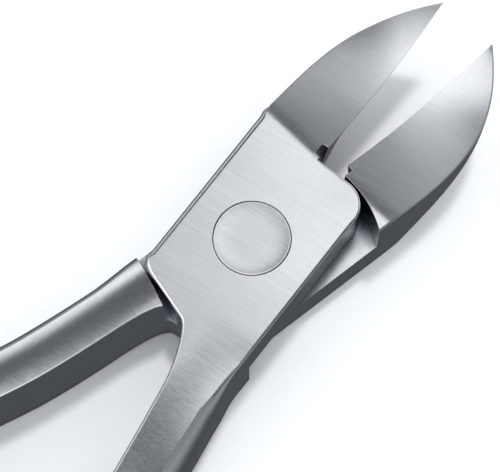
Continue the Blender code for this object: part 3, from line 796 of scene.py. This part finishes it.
def deliver(obj, half, node, body, material):
    """Finish a piece: place it, shade it, give it its material and tie it to its body."""
    put_in_place(obj, half)
    obj.data.shade_smooth()
    obj.data.set_sharp_from_angle(angle=math.radians(SHARP_ANGLE))
    obj.data.materials.clear()
    obj.data.materials.append(material)
    obj.name = node + "_finished"
    if body:
        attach(obj, body)
    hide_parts(node)
    return obj


# ---------- the two halves

HOLE_CLEARANCE = 0.05
RIVET_HEAD_GAP = 0.03
RIVET_DISH = 0.07
RIVET_DISH_POWER = 5
RIVET_DISH_STEPS = 25
RIVET_RIM_EDGE = 0.05
RIVET_FOOT_EDGE = 0.09
RIVET_PROUD = 0.01
RIVET_SHANK_RADIUS = 2.6
RIVET_HEAD_HEIGHT = 2.0
RIVET_FOOT_RADIUS = 3.6
RIVET_FOOT_HEIGHT = 1.6
CUT_MARGIN = 1.0
LEAF_ROOT_X = -37.0
LEAF_TIP_X = -64.0
LEAF_THICKNESS = 0.5
LEAF_WIDTH = 5.0
LEAF_TAB = 2.5
LEAF_BEND_X = 1.8
LEAF_LIFT_ANGLE = 26.0
LEAF_OVERRUN = 2.4
LEAF_PULL = 0.35
LEAF_EDGE = 0.12
LEAF_BEND_END = 20
LATCH_OF_LEAVES = 3.6
HOOK_CUT_DEPTH = 4.0
TONGUE_WIDTH = 1.8
FORK_SLOT = 2.6
SEAT_DEPTH = 0.6
SEAT_LENGTH = 7.9
SEAT_SHIFT = 0.85
SEAT_SIDE_GAP = 0.4
SCREW_SHANK_RADIUS = 0.9
SCREW_HEAD = (1.7, 0.9, 0.12, 0.3)    # radius, height, dome, rim rounding
SCREW_HEAD_GAP = 0.45
HOLE_OVERRUN = 0.3
SCREW_DEPTH = 2.2
SCREW_SLOT_WIDTH = 0.4
SCREW_SLOT_DEPTH = 0.4
LEAF_HOLE_CLEARANCE = 0.15
CATCH_X = -92.0
CATCH_THICKNESS = 1.0
CATCH_EDGE = 0.12
CATCH_LIFT = 0.3
CATCH_WIDTH = 3.6
CATCH_HOOK_CLEARANCE = 0.2
PIN_RADIUS = 0.9
PIN_HEAD = (1.6, 0.6, 0.1, 0.25)    # radius, height, dome, rim rounding
PIN_DEPTH = 3.0
FITTING_SIDES = 64


def recess_outline():
    """Plan of the space left for the other half's lap, between the two shoulders."""
    centre = SHOULDER_CENTRE
    reach = math.asin((CUT_REACH - centre[1]) / SHOULDER_RADIUS)
    begin = math.asin((RELIEF_RADIUS - centre[1]) / SHOULDER_RADIUS)
    step_end = STEP_INNER[0] + (-CUT_REACH - STEP_INNER[1]) * STEP_SLOPE
    outline = [(step_end, -CUT_REACH), (RELIEF_X, -CUT_REACH), (RELIEF_X, 0.0)]
    outline += arc_points(centre, SHOULDER_RADIUS, begin, reach, 40)
    outline += [(-14.0, CUT_REACH), (-14.0, STEP_INNER[1]), STEP_INNER]
    return outline


def rivet_hole():
    head = RIVET_RADIUS + HOLE_CLEARANCE
    shank = RIVET_SHANK_RADIUS + HOLE_CLEARANCE
    foot = RIVET_FOOT_RADIUS + HOLE_CLEARANCE
    head_low = THICKNESS - RIVET_HEAD_HEIGHT - HOLE_CLEARANCE
    foot_high = RIVET_FOOT_HEIGHT + HOLE_CLEARANCE
    profile = [(0.0, THICKNESS + CUT_MARGIN), (head, THICKNESS + CUT_MARGIN), (head, head_low),
               (shank, head_low), (shank, foot_high), (foot, foot_high), (foot, -CUT_MARGIN),
               (0.0, -CUT_MARGIN)]
    return lathe("rivet_hole", profile)


def frame_at(point, along, across, up):
    """Frame half way up the thickness, over a flat point, from two flat directions."""
    place = Matrix.Identity(4)
    place.col[0] = (along.x, along.y, 0.0, 0.0)
    place.col[1] = (across.x, across.y, 0.0, 0.0)
    place.col[2] = (0.0, 0.0, up, 0.0)
    place.col[3] = (point.x, point.y, THICKNESS / 2, 1.0)
    return place


def seat_place(half):
    """Frame at a leaf's root, mid-thickness: X towards the tail, Y from the handle inward."""
    along = handle_direction(half, LEAF_ROOT_X)
    inward = Vector((along.y, -along.x))
    origin = handle_side(half, LEAF_ROOT_X, True) + inward * LEAF_THICKNESS / 2
    return frame_at(origin, along, inward, -1.0)


def screw_place(half):
    return seat_place(half) @ Matrix.Rotation(-math.pi / 2, 4, "X")


def catch_place(half):
    return Matrix.Translation((CATCH_X, handle_y(half, CATCH_X), 0.0))


def pin_tool(radius, low, high, place):
    profile = [(0.0, high), (radius, high), (radius, low), (0.0, low)]
    return lathe("pin_tool", profile, place, 48)


def half_body(half, node, material):
    points, rounds = half_outline(half)
    ridge_line = [(x, ridge(half, x)[0]) for x in np.arange(13.2, 31.6, 0.5)]
    body = solid_from_outline(node, half, points, rounds, [ridge_line])
    middle = THICKNESS / 2
    if half["lap_on_top"]:
        low, high = -CUT_MARGIN, middle + LAP_GAP / 2
    else:
        low, high = middle - LAP_GAP / 2, THICKNESS + 3 * CUT_MARGIN
    recess = prism("recess", recess_outline(), low, high)
    size = (SEAT_LENGTH, 2 * SEAT_DEPTH, LEAF_WIDTH + 2 * SEAT_SIDE_GAP)
    shift = Matrix.Translation((SEAT_SHIFT, -LEAF_THICKNESS / 2, 0.0))
    seat = block("seat", size, seat_place(half) @ shift)
    screw_end = -LEAF_THICKNESS / 2 - SEAT_DEPTH - SCREW_DEPTH - HOLE_OVERRUN
    radius = SCREW_SHANK_RADIUS + HOLE_CLEARANCE
    screw = pin_tool(radius, screw_end, CUT_MARGIN, screw_place(half))
    pin_low = handle_top(CATCH_X) - PIN_DEPTH - HOLE_OVERRUN
    radius = PIN_RADIUS + HOLE_CLEARANCE
    pin = pin_tool(radius, pin_low, THICKNESS + 2 * CUT_MARGIN, catch_place(half))
    cut(body, recess, rivet_hole(), seat, screw, pin)
    return deliver(body, half, node, node, material)


# ---------- fittings

def rounded_rim(radius, height, edge, steps=6, upward=True):
    """(radius, height) pairs that round the rim of a turned head."""
    out = []
    for i in range(steps + 1):
        a = math.pi / 2 * i / steps
        rise = edge * math.cos(a) - edge
        out.append((radius - edge + edge * math.sin(a), height + (rise if upward else -rise)))
    return out if upward else out[::-1]


def pivot_rivet(material):
    """The flush rivet: a faintly dished head with a soft rim, and its foot below."""
    head = RIVET_RADIUS - RIVET_HEAD_GAP
    rim_height = THICKNESS + RIVET_PROUD
    profile = []
    for i in range(RIVET_DISH_STEPS):
        share = i / RIVET_DISH_STEPS
        sunk = RIVET_DISH * (1.0 - share ** RIVET_DISH_POWER)
        profile.append(((head - RIVET_RIM_EDGE) * share, rim_height - sunk))
    profile += rounded_rim(head, rim_height, RIVET_RIM_EDGE)
    profile += [(head, THICKNESS - RIVET_HEAD_HEIGHT),
                (RIVET_SHANK_RADIUS, THICKNESS - RIVET_HEAD_HEIGHT),
                (RIVET_SHANK_RADIUS, RIVET_FOOT_HEIGHT), (RIVET_FOOT_RADIUS, RIVET_FOOT_HEIGHT)]
    profile += rounded_rim(RIVET_FOOT_RADIUS, 0.0, RIVET_FOOT_EDGE, upward=False)
    profile += [(RIVET_FOOT_RADIUS * share, 0.0) for share in (0.7, 0.4)]
    profile += [(0.0, 0.0)]
    rivet = lathe("rivet", profile, steps=160)
    return deliver(rivet, None, "pivot_rivet", "lower_half", material)


def leaf_path(half, segments=48):
    """Middle line of a leaf in the half's own frame, jaws resting open."""
    place = seat_place(half)
    root = Vector((place.translation.x, place.translation.y))
    along = Vector((place.col[0][0], place.col[0][1]))
    turn = math.radians(HALF_OPENING)
    tip = Vector((math.cos(turn), -math.sin(turn))) * LEAF_TIP_X
    bend = root + along * LEAF_BEND_X
    lift = math.radians(LEAF_LIFT_ANGLE)
    inward = Vector((along.y, -along.x))
    away = along * math.cos(lift) + inward * math.sin(lift)
    pull = (tip - bend).length * LEAF_PULL
    arrive = (tip - bend - away * pull).normalized()
    control = (bend, bend + away * pull, tip - arrive * pull, tip)
    points = [root - along * LEAF_TAB, root - along * LEAF_TAB * 0.5, root]
    points.append(root + along * LEAF_BEND_X * 0.5)
    points += [bezier(control, i / segments) for i in range(segments + 1)]
    points += [tip + arrive * LEAF_OVERRUN * share for share in (0.5, 1.0)]
    return points


def strip_section(width, thickness, edge):
    """Rounded rectangle (across, up) round which a leaf is lofted."""
    out = []
    for sx, sy, turn in ((1, 1, 0.0), (-1, 1, 0.5), (-1, -1, 1.0), (1, -1, 1.5)):
        centre = (sx * (thickness / 2 - edge), sy * (width / 2 - edge))
        out += arc_points(centre, edge, turn * math.pi, (turn + 0.5) * math.pi, 3)
    return out


def lofted_strip(name, points, section):
    """A strip standing on edge along the points, its ends closed."""
    shape = bmesh.new()
    rings = []
    for i, point in enumerate(points):
        before = points[max(i - 1, 0)]
        after = points[min(i + 1, len(points) - 1)]
        along = (after - before).normalized()
        across = Vector((-along.y, along.x))
        ring = []
        for offset, up in section:
            flat = point + across * offset
            ring.append(shape.verts.new((flat.x, flat.y, THICKNESS / 2 + up)))
        rings.append(ring)
    for first, second in zip(rings, rings[1:]):
        for corners in quads(first, second):
            shape.faces.new(corners)
    shape.faces.new(rings[0])
    shape.faces.new(rings[-1][::-1])
    return outward_object(name, shape)


def hook_tools(points, tongue):
    """Cutters that leave a tongue, or open a fork, at a leaf's tip."""
    end = (points[-1] - points[-3]).normalized()
    length = LATCH_OF_LEAVES + LEAF_OVERRUN + 1.0
    place = frame_at(points[-3], end, Vector((-end.y, end.x)), 1.0)
    place = place @ Matrix.Translation((length / 2 - LATCH_OF_LEAVES, 0.0, 0.0))
    if not tongue:
        return [block("slot", (length, HOOK_CUT_DEPTH, FORK_SLOT), place)]
    tools = []
    for sign in (-1, 1):
        lift = Matrix.Translation((0.0, 0.0, sign * (TONGUE_WIDTH + LEAF_WIDTH) / 2))
        tools.append(block("side", (length, HOOK_CUT_DEPTH, LEAF_WIDTH), place @ lift))
    return tools


def leaf(half, side, tongue, material):
    points = leaf_path(half)
    section = strip_section(LEAF_WIDTH, LEAF_THICKNESS, LEAF_EDGE)
    strip = lofted_strip("leaf_" + side, points, section)
    radius = SCREW_SHANK_RADIUS + LEAF_HOLE_CLEARANCE
    hole = pin_tool(radius, -1.5, 1.5, screw_place(half))
    cut(strip, *hook_tools(points, tongue), hole)
    node = "spring_leaf_" + side
    piece = deliver(strip, half, node, None, material)
    bend_start = world_point(half, seat_place(half).translation)
    bend_end = world_point(half, Vector((*points[LEAF_BEND_END], THICKNESS / 2)))
    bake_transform(piece)
    return piece


def world_point(half, point):
    """World position at rest, in metres, of a point in a half's own frame."""
    turned = Matrix.Rotation(math.radians(HALF_OPENING), 4, "Z") @ point
    if half is LOWER:
        turned.y = -turned.y
    return turned * MM


def headed_profile(head, low, shank, end, steps=8):
    """(radius, height) pairs of a domed head, standing on low, and its shank down to end."""
    radius, height, dome, edge = head
    top = low + height
    profile = []
    for i in range(steps):
        share = i / steps
        profile.append(((radius - edge) * share, top - dome * share ** 2))
    profile += rounded_rim(radius, top - dome, edge)
    return profile + [(radius, low), (shank, low), (shank, end), (0.0, end)]


def spring_screw(half, side, material):
    head_low = LEAF_THICKNESS / 2 + SCREW_HEAD_GAP
    end = -LEAF_THICKNESS / 2 - SEAT_DEPTH - SCREW_DEPTH
    profile = headed_profile(SCREW_HEAD, head_low, SCREW_SHANK_RADIUS, end)
    place = screw_place(half)
    screw = lathe("screw_" + side, profile, place, FITTING_SIDES)
    slot_place = place @ Matrix.Translation((0.0, 0.0, head_low + SCREW_HEAD[1]))
    size = (2 * SCREW_HEAD[0] + 1.0, SCREW_SLOT_WIDTH, 2 * SCREW_SLOT_DEPTH)
    cut(screw, block("slot", size, slot_place))
    node = "spring_screw_" + side
    return deliver(screw, half, node, side + "_half", material)


def headed_pin(half, node, body, material):
    top = handle_top(CATCH_X)
    neck_high = top + CATCH_LIFT + CATCH_THICKNESS + CATCH_LIFT
    profile = headed_profile(PIN_HEAD, neck_high, PIN_RADIUS, top - PIN_DEPTH)
    pin = lathe(node, profile, catch_place(half), FITTING_SIDES)
    return deliver(pin, half, node, body, material)


def catch_arm(material):
    pivot = Vector((CATCH_X, handle_y(UPPER, CATCH_X)))
    reach = abs(pivot.y + handle_y(LOWER, CATCH_X))
    radius = CATCH_WIDTH / 2
    outline = arc_points((0.0, 0.0), radius, math.pi / 2, 3 * math.pi / 2, 24)
    outline += arc_points((reach, 0.0), radius, -math.pi / 2, math.pi / 2, 24)
    low = handle_top(CATCH_X) + CATCH_LIFT
    arm = prism("catch", outline, low, low + CATCH_THICKNESS)
    notch_radius = PIN_RADIUS + CATCH_HOOK_CLEARANCE
    notch = arc_points((reach, 0.0), notch_radius, math.pi, 2 * math.pi, 20)
    notch += [(reach + notch_radius, CATCH_WIDTH), (reach - notch_radius, CATCH_WIDTH)]
    hole = pin_tool(PIN_RADIUS + HOLE_CLEARANCE, 0.0, 2 * THICKNESS, Matrix.Identity(4))
    cut(arm, hole, prism("notch", notch, 0.0, 2 * THICKNESS))
    soften(arm, CATCH_EDGE)
    forward = -handle_direction(UPPER, CATCH_X)
    turn = Matrix.Rotation(math.atan2(forward.y, forward.x), 4, "Z")
    arm.data.transform(catch_place(UPPER) @ turn)
    return deliver(arm, UPPER, "catch_arm", "catch", material)


# ---------- brushed steel

class Graph:
    """Short calls for building a node tree."""

    def __init__(self, tree):
        self.tree = tree
        self.tree.nodes.clear()

    def node(self, kind, inputs=None, **settings):
        made = self.tree.nodes.new(kind)
        for key, value in settings.items():
            setattr(made, key, value)
        for key, value in (inputs or {}).items():
            socket = made.inputs[key]
            if isinstance(value, bpy.types.NodeSocket):
                self.tree.links.new(value, socket)
            else:
                socket.default_value = value
        return made

    def math(self, operation, a, b=0.0, clamp=False):
        return self.node("ShaderNodeMath", {0: a, 1: b}, operation=operation,
                         use_clamp=clamp).outputs[0]

    def remap(self, value, low, high, to_low, to_high, smoothed=False):
        kind = "SMOOTHSTEP" if smoothed else "LINEAR"
        inputs = {0: value, 1: low, 2: high, 3: to_low, 4: to_high}
        return self.node("ShaderNodeMapRange", inputs, interpolation_type=kind).outputs[0]

    def centred(self, value, weight):
        """The value's swing about a half, times the weight."""
        return self.math("MULTIPLY", self.math("SUBTRACT", value, 0.5), weight)

    def mix(self, share, a, b):
        return self.node("ShaderNodeMix", {0: share, 6: a, 7: b}, data_type="RGBA").outputs[2]


def new_material(name):
    material = bpy.data.materials.new(name)
    material.use_nodes = True
    return material, Graph(material.node_tree)


# Painted shade: the steel's colour darkens to a blue-black tone in crevices, gaps and recesses,
# as far as the occlusion node finds surfaces within the reach.
CREVICE_SHADE_REACH = 0.0035
CREVICE_PAINTED_SHADE = (0.10, 0.115, 0.14)
CREVICE_SHADE_RANGE = (0.25, 0.72)
JAW_FINISH = (0.0105, 0.0135)
EDGE_RADIUS = 0.00006
EDGE_FACING = (0.995, 0.86)
EDGE_BRIGHTNESS = 1.12
EDGE_LIMIT = 0.92
ANISOTROPY = 0.35
BRUSH_RELIEF = 0.00001
# (scale along, scale across, detail, roughness) of the brush marks
FINE_MARKS = (220.0, 11000.0, 5.0, 0.65)
COARSE_MARKS = (95.0, 4600.0, 4.0, 0.6)
BROAD_MARKS = (50.0, 420.0, 3.0, 0.5)


def brush_marks(g, aligned, marks):
    """Noise drawn out along the grain."""
    along, across, detail, roughness = marks
    scaled = g.node("ShaderNodeMapping", {"Vector": aligned, "Scale": (along, across, across)})
    noise = g.node("ShaderNodeTexNoise", {"Vector": scaled.outputs[0], "Scale": 1.0,
                                          "Detail": detail, "Roughness": roughness})
    return noise.outputs["Fac"]


def edge_wear(g, edge_normal, coarse):
    """1 on the sharpest edges, 0 on flats, broken up by the coarse marks."""
    flat_normal = g.node("ShaderNodeNewGeometry").outputs["Normal"]
    facing = g.node("ShaderNodeVectorMath", {0: edge_normal, 1: flat_normal},
                    operation="DOT_PRODUCT").outputs["Value"]
    wear = g.remap(facing, *EDGE_FACING, 0.0, 1.0)
    return g.math("MULTIPLY", wear, g.remap(coarse, 0.3, 0.7, 0.55, 1.0))


def steel_colour(g, dark, bright, marks, wear):
    fine, coarse, broad = marks
    tone = g.math("ADD", g.centred(fine, 0.9), g.centred(coarse, 0.5))
    tone = g.math("ADD", tone, g.centred(broad, 0.12))
    tone = g.math("ADD", tone, 0.5, clamp=True)
    colour = g.mix(tone, (*dark, 1.0), (*bright, 1.0))
    worn = tuple(min(value * EDGE_BRIGHTNESS, EDGE_LIMIT) for value in bright)
    colour = g.mix(g.math("MULTIPLY", wear, 0.7), colour, (*worn, 1.0))
    # Painted shade in crevices: colour pulled towards the dark crevice tone where occlusion is
    # strong.
    shade_occlusion = g.node("ShaderNodeAmbientOcclusion", {"Distance": CREVICE_SHADE_REACH}, samples=8)
    unshaded_share = g.remap(shade_occlusion.outputs["AO"], *CREVICE_SHADE_RANGE, 0.0, 1.0)
    return g.mix(unshaded_share, (*CREVICE_PAINTED_SHADE, 1.0), colour)


def steel_roughness(g, place, base, jaw_extra, fine, wear):
    cloudy = g.node("ShaderNodeTexNoise", {"Vector": place, "Scale": 90.0, "Detail": 4.0})
    rough = g.math("ADD", base, g.centred(fine, 0.14))
    rough = g.math("ADD", rough, g.centred(cloudy.outputs["Fac"], 0.10))
    rough = g.math("SUBTRACT", rough, g.math("MULTIPLY", wear, 0.08))
    if not jaw_extra:
        return rough
    along = g.node("ShaderNodeSeparateXYZ", {0: place}).outputs[0]
    ahead = g.remap(along, *JAW_FINISH, 0.0, 1.0, True)
    return g.math("ADD", rough, g.math("MULTIPLY", ahead, jaw_extra))


def brushed_steel(name, tones, roughness, grain, jaw_extra=0.0):
    """Steel brushed along the grain angle (degrees from X), with bright worn edges.

    tones are its darkest and brightest colours.  jaw_extra is added to the roughness
    ahead of the plate, where the jaw faces are ground coarser.
    """
    material, g = new_material(name)
    angle = math.radians(grain)
    place = g.node("ShaderNodeTexCoord").outputs["Object"]
    turn = (0.0, 0.0, math.radians(-grain))
    aligned = g.node("ShaderNodeMapping", {"Vector": place, "Rotation": turn}).outputs[0]
    marks = [brush_marks(g, aligned, kind) for kind in (FINE_MARKS, COARSE_MARKS, BROAD_MARKS)]
    fine, coarse, _ = marks
    edge_normal = g.node("ShaderNodeBevel", {"Radius": EDGE_RADIUS}, samples=6).outputs[0]
    wear = edge_wear(g, edge_normal, coarse)
    height = g.math("ADD", g.math("MULTIPLY", fine, 0.6), g.math("MULTIPLY", coarse, 0.4))
    bump = g.node("ShaderNodeBump", {"Strength": 0.35, "Distance": BRUSH_RELIEF,
                                     "Height": height, "Normal": edge_normal})
    tangent = g.node("ShaderNodeCombineXYZ", {"X": math.cos(angle), "Y": math.sin(angle)})
    shader = g.node("ShaderNodeBsdfPrincipled", {
        "Base Color": steel_colour(g, *tones, marks, wear), "Metallic": 1.0,
        "Roughness": steel_roughness(g, place, roughness, jaw_extra, fine, wear),
        "Anisotropic": ANISOTROPY, "Normal": bump.outputs[0], "Tangent": tangent.outputs[0]})
    g.node("ShaderNodeOutputMaterial", {"Surface": shader.outputs[0]})
    return material


# ---------- studio

VIEW_TURN = -45.37
VIEW_TILT = 19.3
VIEW_DISTANCE = 172.5
AIM_SHIFT = (0.208, -0.200)
LENS = 121.97
SENSOR = 36.0


def view_to_world(vector):
    """Turn a direction given as (view right, view up along the floor, height) to world."""
    return Matrix.Rotation(math.radians(VIEW_TURN), 3, "Z") @ Vector(vector)


def make_camera():
    tilt = math.radians(VIEW_TILT)
    right = view_to_world((1.0, 0.0, 0.0))
    up = view_to_world((0.0, math.cos(tilt), math.sin(tilt)))
    look = view_to_world((0.0, math.sin(tilt), -math.cos(tilt)))
    aim = Vector((0.0, 0.0, THICKNESS))
    centre = aim - look * VIEW_DISTANCE - right * AIM_SHIFT[0] - up * AIM_SHIFT[1]
    data = bpy.data.cameras.new("camera")
    data.lens = LENS
    data.sensor_width = SENSOR
    data.sensor_fit = "HORIZONTAL"
    data.clip_start = 0.01
    camera = new_object("camera", data)
    basis = Matrix((right, up, -look)).transposed()
    camera.matrix_world = Matrix.Translation(centre * MM) @ basis.to_4x4()
    bpy.context.scene.camera = camera


FLOOR_GAP = 0.02
FLOOR_REACH = 6.0


def make_floor():
    mesh = bpy.data.meshes.new("floor")
    level = -FLOOR_GAP * MM
    signs = ((-1, -1), (1, -1), (1, 1), (-1, 1))
    corners = [(x * FLOOR_REACH, y * FLOOR_REACH, level) for x, y in signs]
    mesh.from_pydata(corners, [], [(0, 1, 2, 3)])
    floor = new_object("floor", mesh)
    material, g = new_material("floor_paper")
    place = g.node("ShaderNodeTexCoord").outputs["Object"]
    fibre = g.node("ShaderNodeTexNoise", {"Vector": place, "Scale": 400.0, "Detail": 3.0})
    colour = g.mix(fibre.outputs["Fac"], (0.86, 0.87, 0.885, 1.0), (0.89, 0.90, 0.91, 1.0))
    shader = g.node("ShaderNodeBsdfPrincipled", {"Base Color": colour, "Roughness": 0.8})
    g.node("ShaderNodeOutputMaterial", {"Surface": shader.outputs[0]})
    mesh.materials.append(material)
    floor.visible_glossy = False


# Soft light panels: reach along X and along Y (sines of the angle off vertical), each as
# (dark, bright, bright, dark), and strength.
SKY_PANELS = (
    ((0.07, 0.31, 0.33, 0.41), (-0.08, 0.17, 0.25, 0.36), 1.5),
    ((-0.85, -0.55, -0.07, 0.17), (-0.75, -0.40, 0.55, 0.85), 1.4),
    ((-0.10, 0.12, 0.50, 0.80), (0.84, 0.95, 0.97, 0.998), 0.65),
    ((0.60, 0.82, 1.20, 1.30), (-1.30, -1.20, 1.20, 1.30), 0.70),
)
# The pale walls of the room: a soft ring just over the horizon, in direction heights.
RING_REACH = (0.00, 0.10, 0.22, 0.42)
RING_STRENGTH = 0.50
RING_SHADE = (-0.75, -0.15, 0.35, 1.0)
SKY_BASE = (0.118, 0.126, 0.138)
# The ground the metal reflects in place of the floor: painted shade of the floor, dark straight
# below the tool and lighter far off.
GROUND_SHADE_TONE = (0.080, 0.086, 0.096)
GROUND_FAR = (0.34, 0.35, 0.365)
GROUND_REACH = (-0.72, -0.22)
HORIZON = (-0.06, 0.10)
FLOOR_SKY = (0.92, 0.945, 0.965)


def band(g, value, reach, strength=1.0):
    """Strength between the reach's bright ends, fading to nothing at its dark ones."""
    rise = g.remap(value, reach[0], reach[1], 0.0, strength, True)
    return g.math("MULTIPLY", rise, g.remap(value, reach[2], reach[3], 1.0, 0.0, True))


def room_light(g, split):
    """The ring of pale walls and the panels, added up."""
    total = band(g, split.outputs[2], RING_REACH, RING_STRENGTH)
    total = g.math("MULTIPLY", total, g.remap(split.outputs[1], *RING_SHADE, True))
    for along_x, along_y, strength in SKY_PANELS:
        panel = strength
        for reach, coordinate in ((along_x, split.outputs[0]), (along_y, split.outputs[1])):
            panel = g.math("MULTIPLY", band(g, coordinate, reach), panel)
        total = g.math("ADD", panel, total)
    return total


def make_world():
    """Metal reflects the painted room; the floor and the camera see a plain pale sky."""
    world = bpy.data.worlds.new("studio")
    bpy.context.scene.world = world
    world.use_nodes = True
    g = Graph(world.node_tree)
    direction = g.node("ShaderNodeTexCoord").outputs["Generated"]
    split = g.node("ShaderNodeSeparateXYZ", {0: direction})
    height = split.outputs[2]
    above = g.remap(height, *HORIZON, 0.0, 1.0, True)
    far = g.remap(height, *GROUND_REACH, 0.0, 1.0, True)
    ground = g.mix(far, (*GROUND_SHADE_TONE, 1.0), (*GROUND_FAR, 1.0))
    colour = g.mix(above, ground, (*SKY_BASE, 1.0))
    total = g.math("MULTIPLY", room_light(g, split), above)
    white = g.node("ShaderNodeCombineColor", {0: total, 1: total, 2: total}).outputs[0]
    glow = g.node("ShaderNodeVectorMath", {0: colour, 1: white}, operation="ADD").outputs[0]
    rays = g.node("ShaderNodeLightPath").outputs
    plain = g.math("ADD", rays["Is Diffuse Ray"], rays["Is Camera Ray"], clamp=True)
    light = g.mix(plain, glow, (*FLOOR_SKY, 1.0))
    background = g.node("ShaderNodeBackground", {"Color": light, "Strength": 1.0})
    g.node("ShaderNodeOutputWorld", {"Surface": background.outputs[0]})


KEY_TOWARD = (1.3, 3.4, 12.8)
KEY_STRENGTH = 1.25
KEY_ANGLE = 7.0


def make_key():
    data = bpy.data.lights.new("key", "SUN")
    data.energy = KEY_STRENGTH
    data.angle = math.radians(KEY_ANGLE)
    lamp = new_object("key", data)
    toward = view_to_world(Vector(KEY_TOWARD).normalized())
    lamp.rotation_euler = toward.to_track_quat("Z", "Y").to_euler()
    lamp.visible_glossy = False


# ---------- build

PLATE_GRAIN = -77.4
BODY_TONES = ((0.56, 0.58, 0.60), (0.90, 0.92, 0.94))
SPRING_TONES = ((0.40, 0.42, 0.45), (0.56, 0.58, 0.61))
FITTING_TONES = ((0.42, 0.44, 0.46), (0.60, 0.61, 0.63))


def main():
    view = bpy.context.scene.view_settings
    view.view_transform = "Standard"
    view.look = "None"
    make_camera()
    make_floor()
    make_world()
    make_key()
    body = brushed_steel("body_brushed", BODY_TONES, 0.20, PLATE_GRAIN, jaw_extra=0.17)
    rivet = brushed_steel("rivet_brushed", BODY_TONES, 0.22, PLATE_GRAIN)
    spring = brushed_steel("spring_satin", SPRING_TONES, 0.3, 0.0)
    fitting = brushed_steel("fitting_turned", FITTING_TONES, 0.28, 0.0)
    for half, side in ((UPPER, "upper"), (LOWER, "lower")):
        half_body(half, side + "_half", body)
        leaf(half, side, half is UPPER, spring)
        spring_screw(half, side, fitting)
    pivot_rivet(rivet)
    catch_arm(body)
    headed_pin(UPPER, "catch_rivet", "upper_half", fitting)
    headed_pin(LOWER, "catch_stud", "lower_half", fitting)


main()
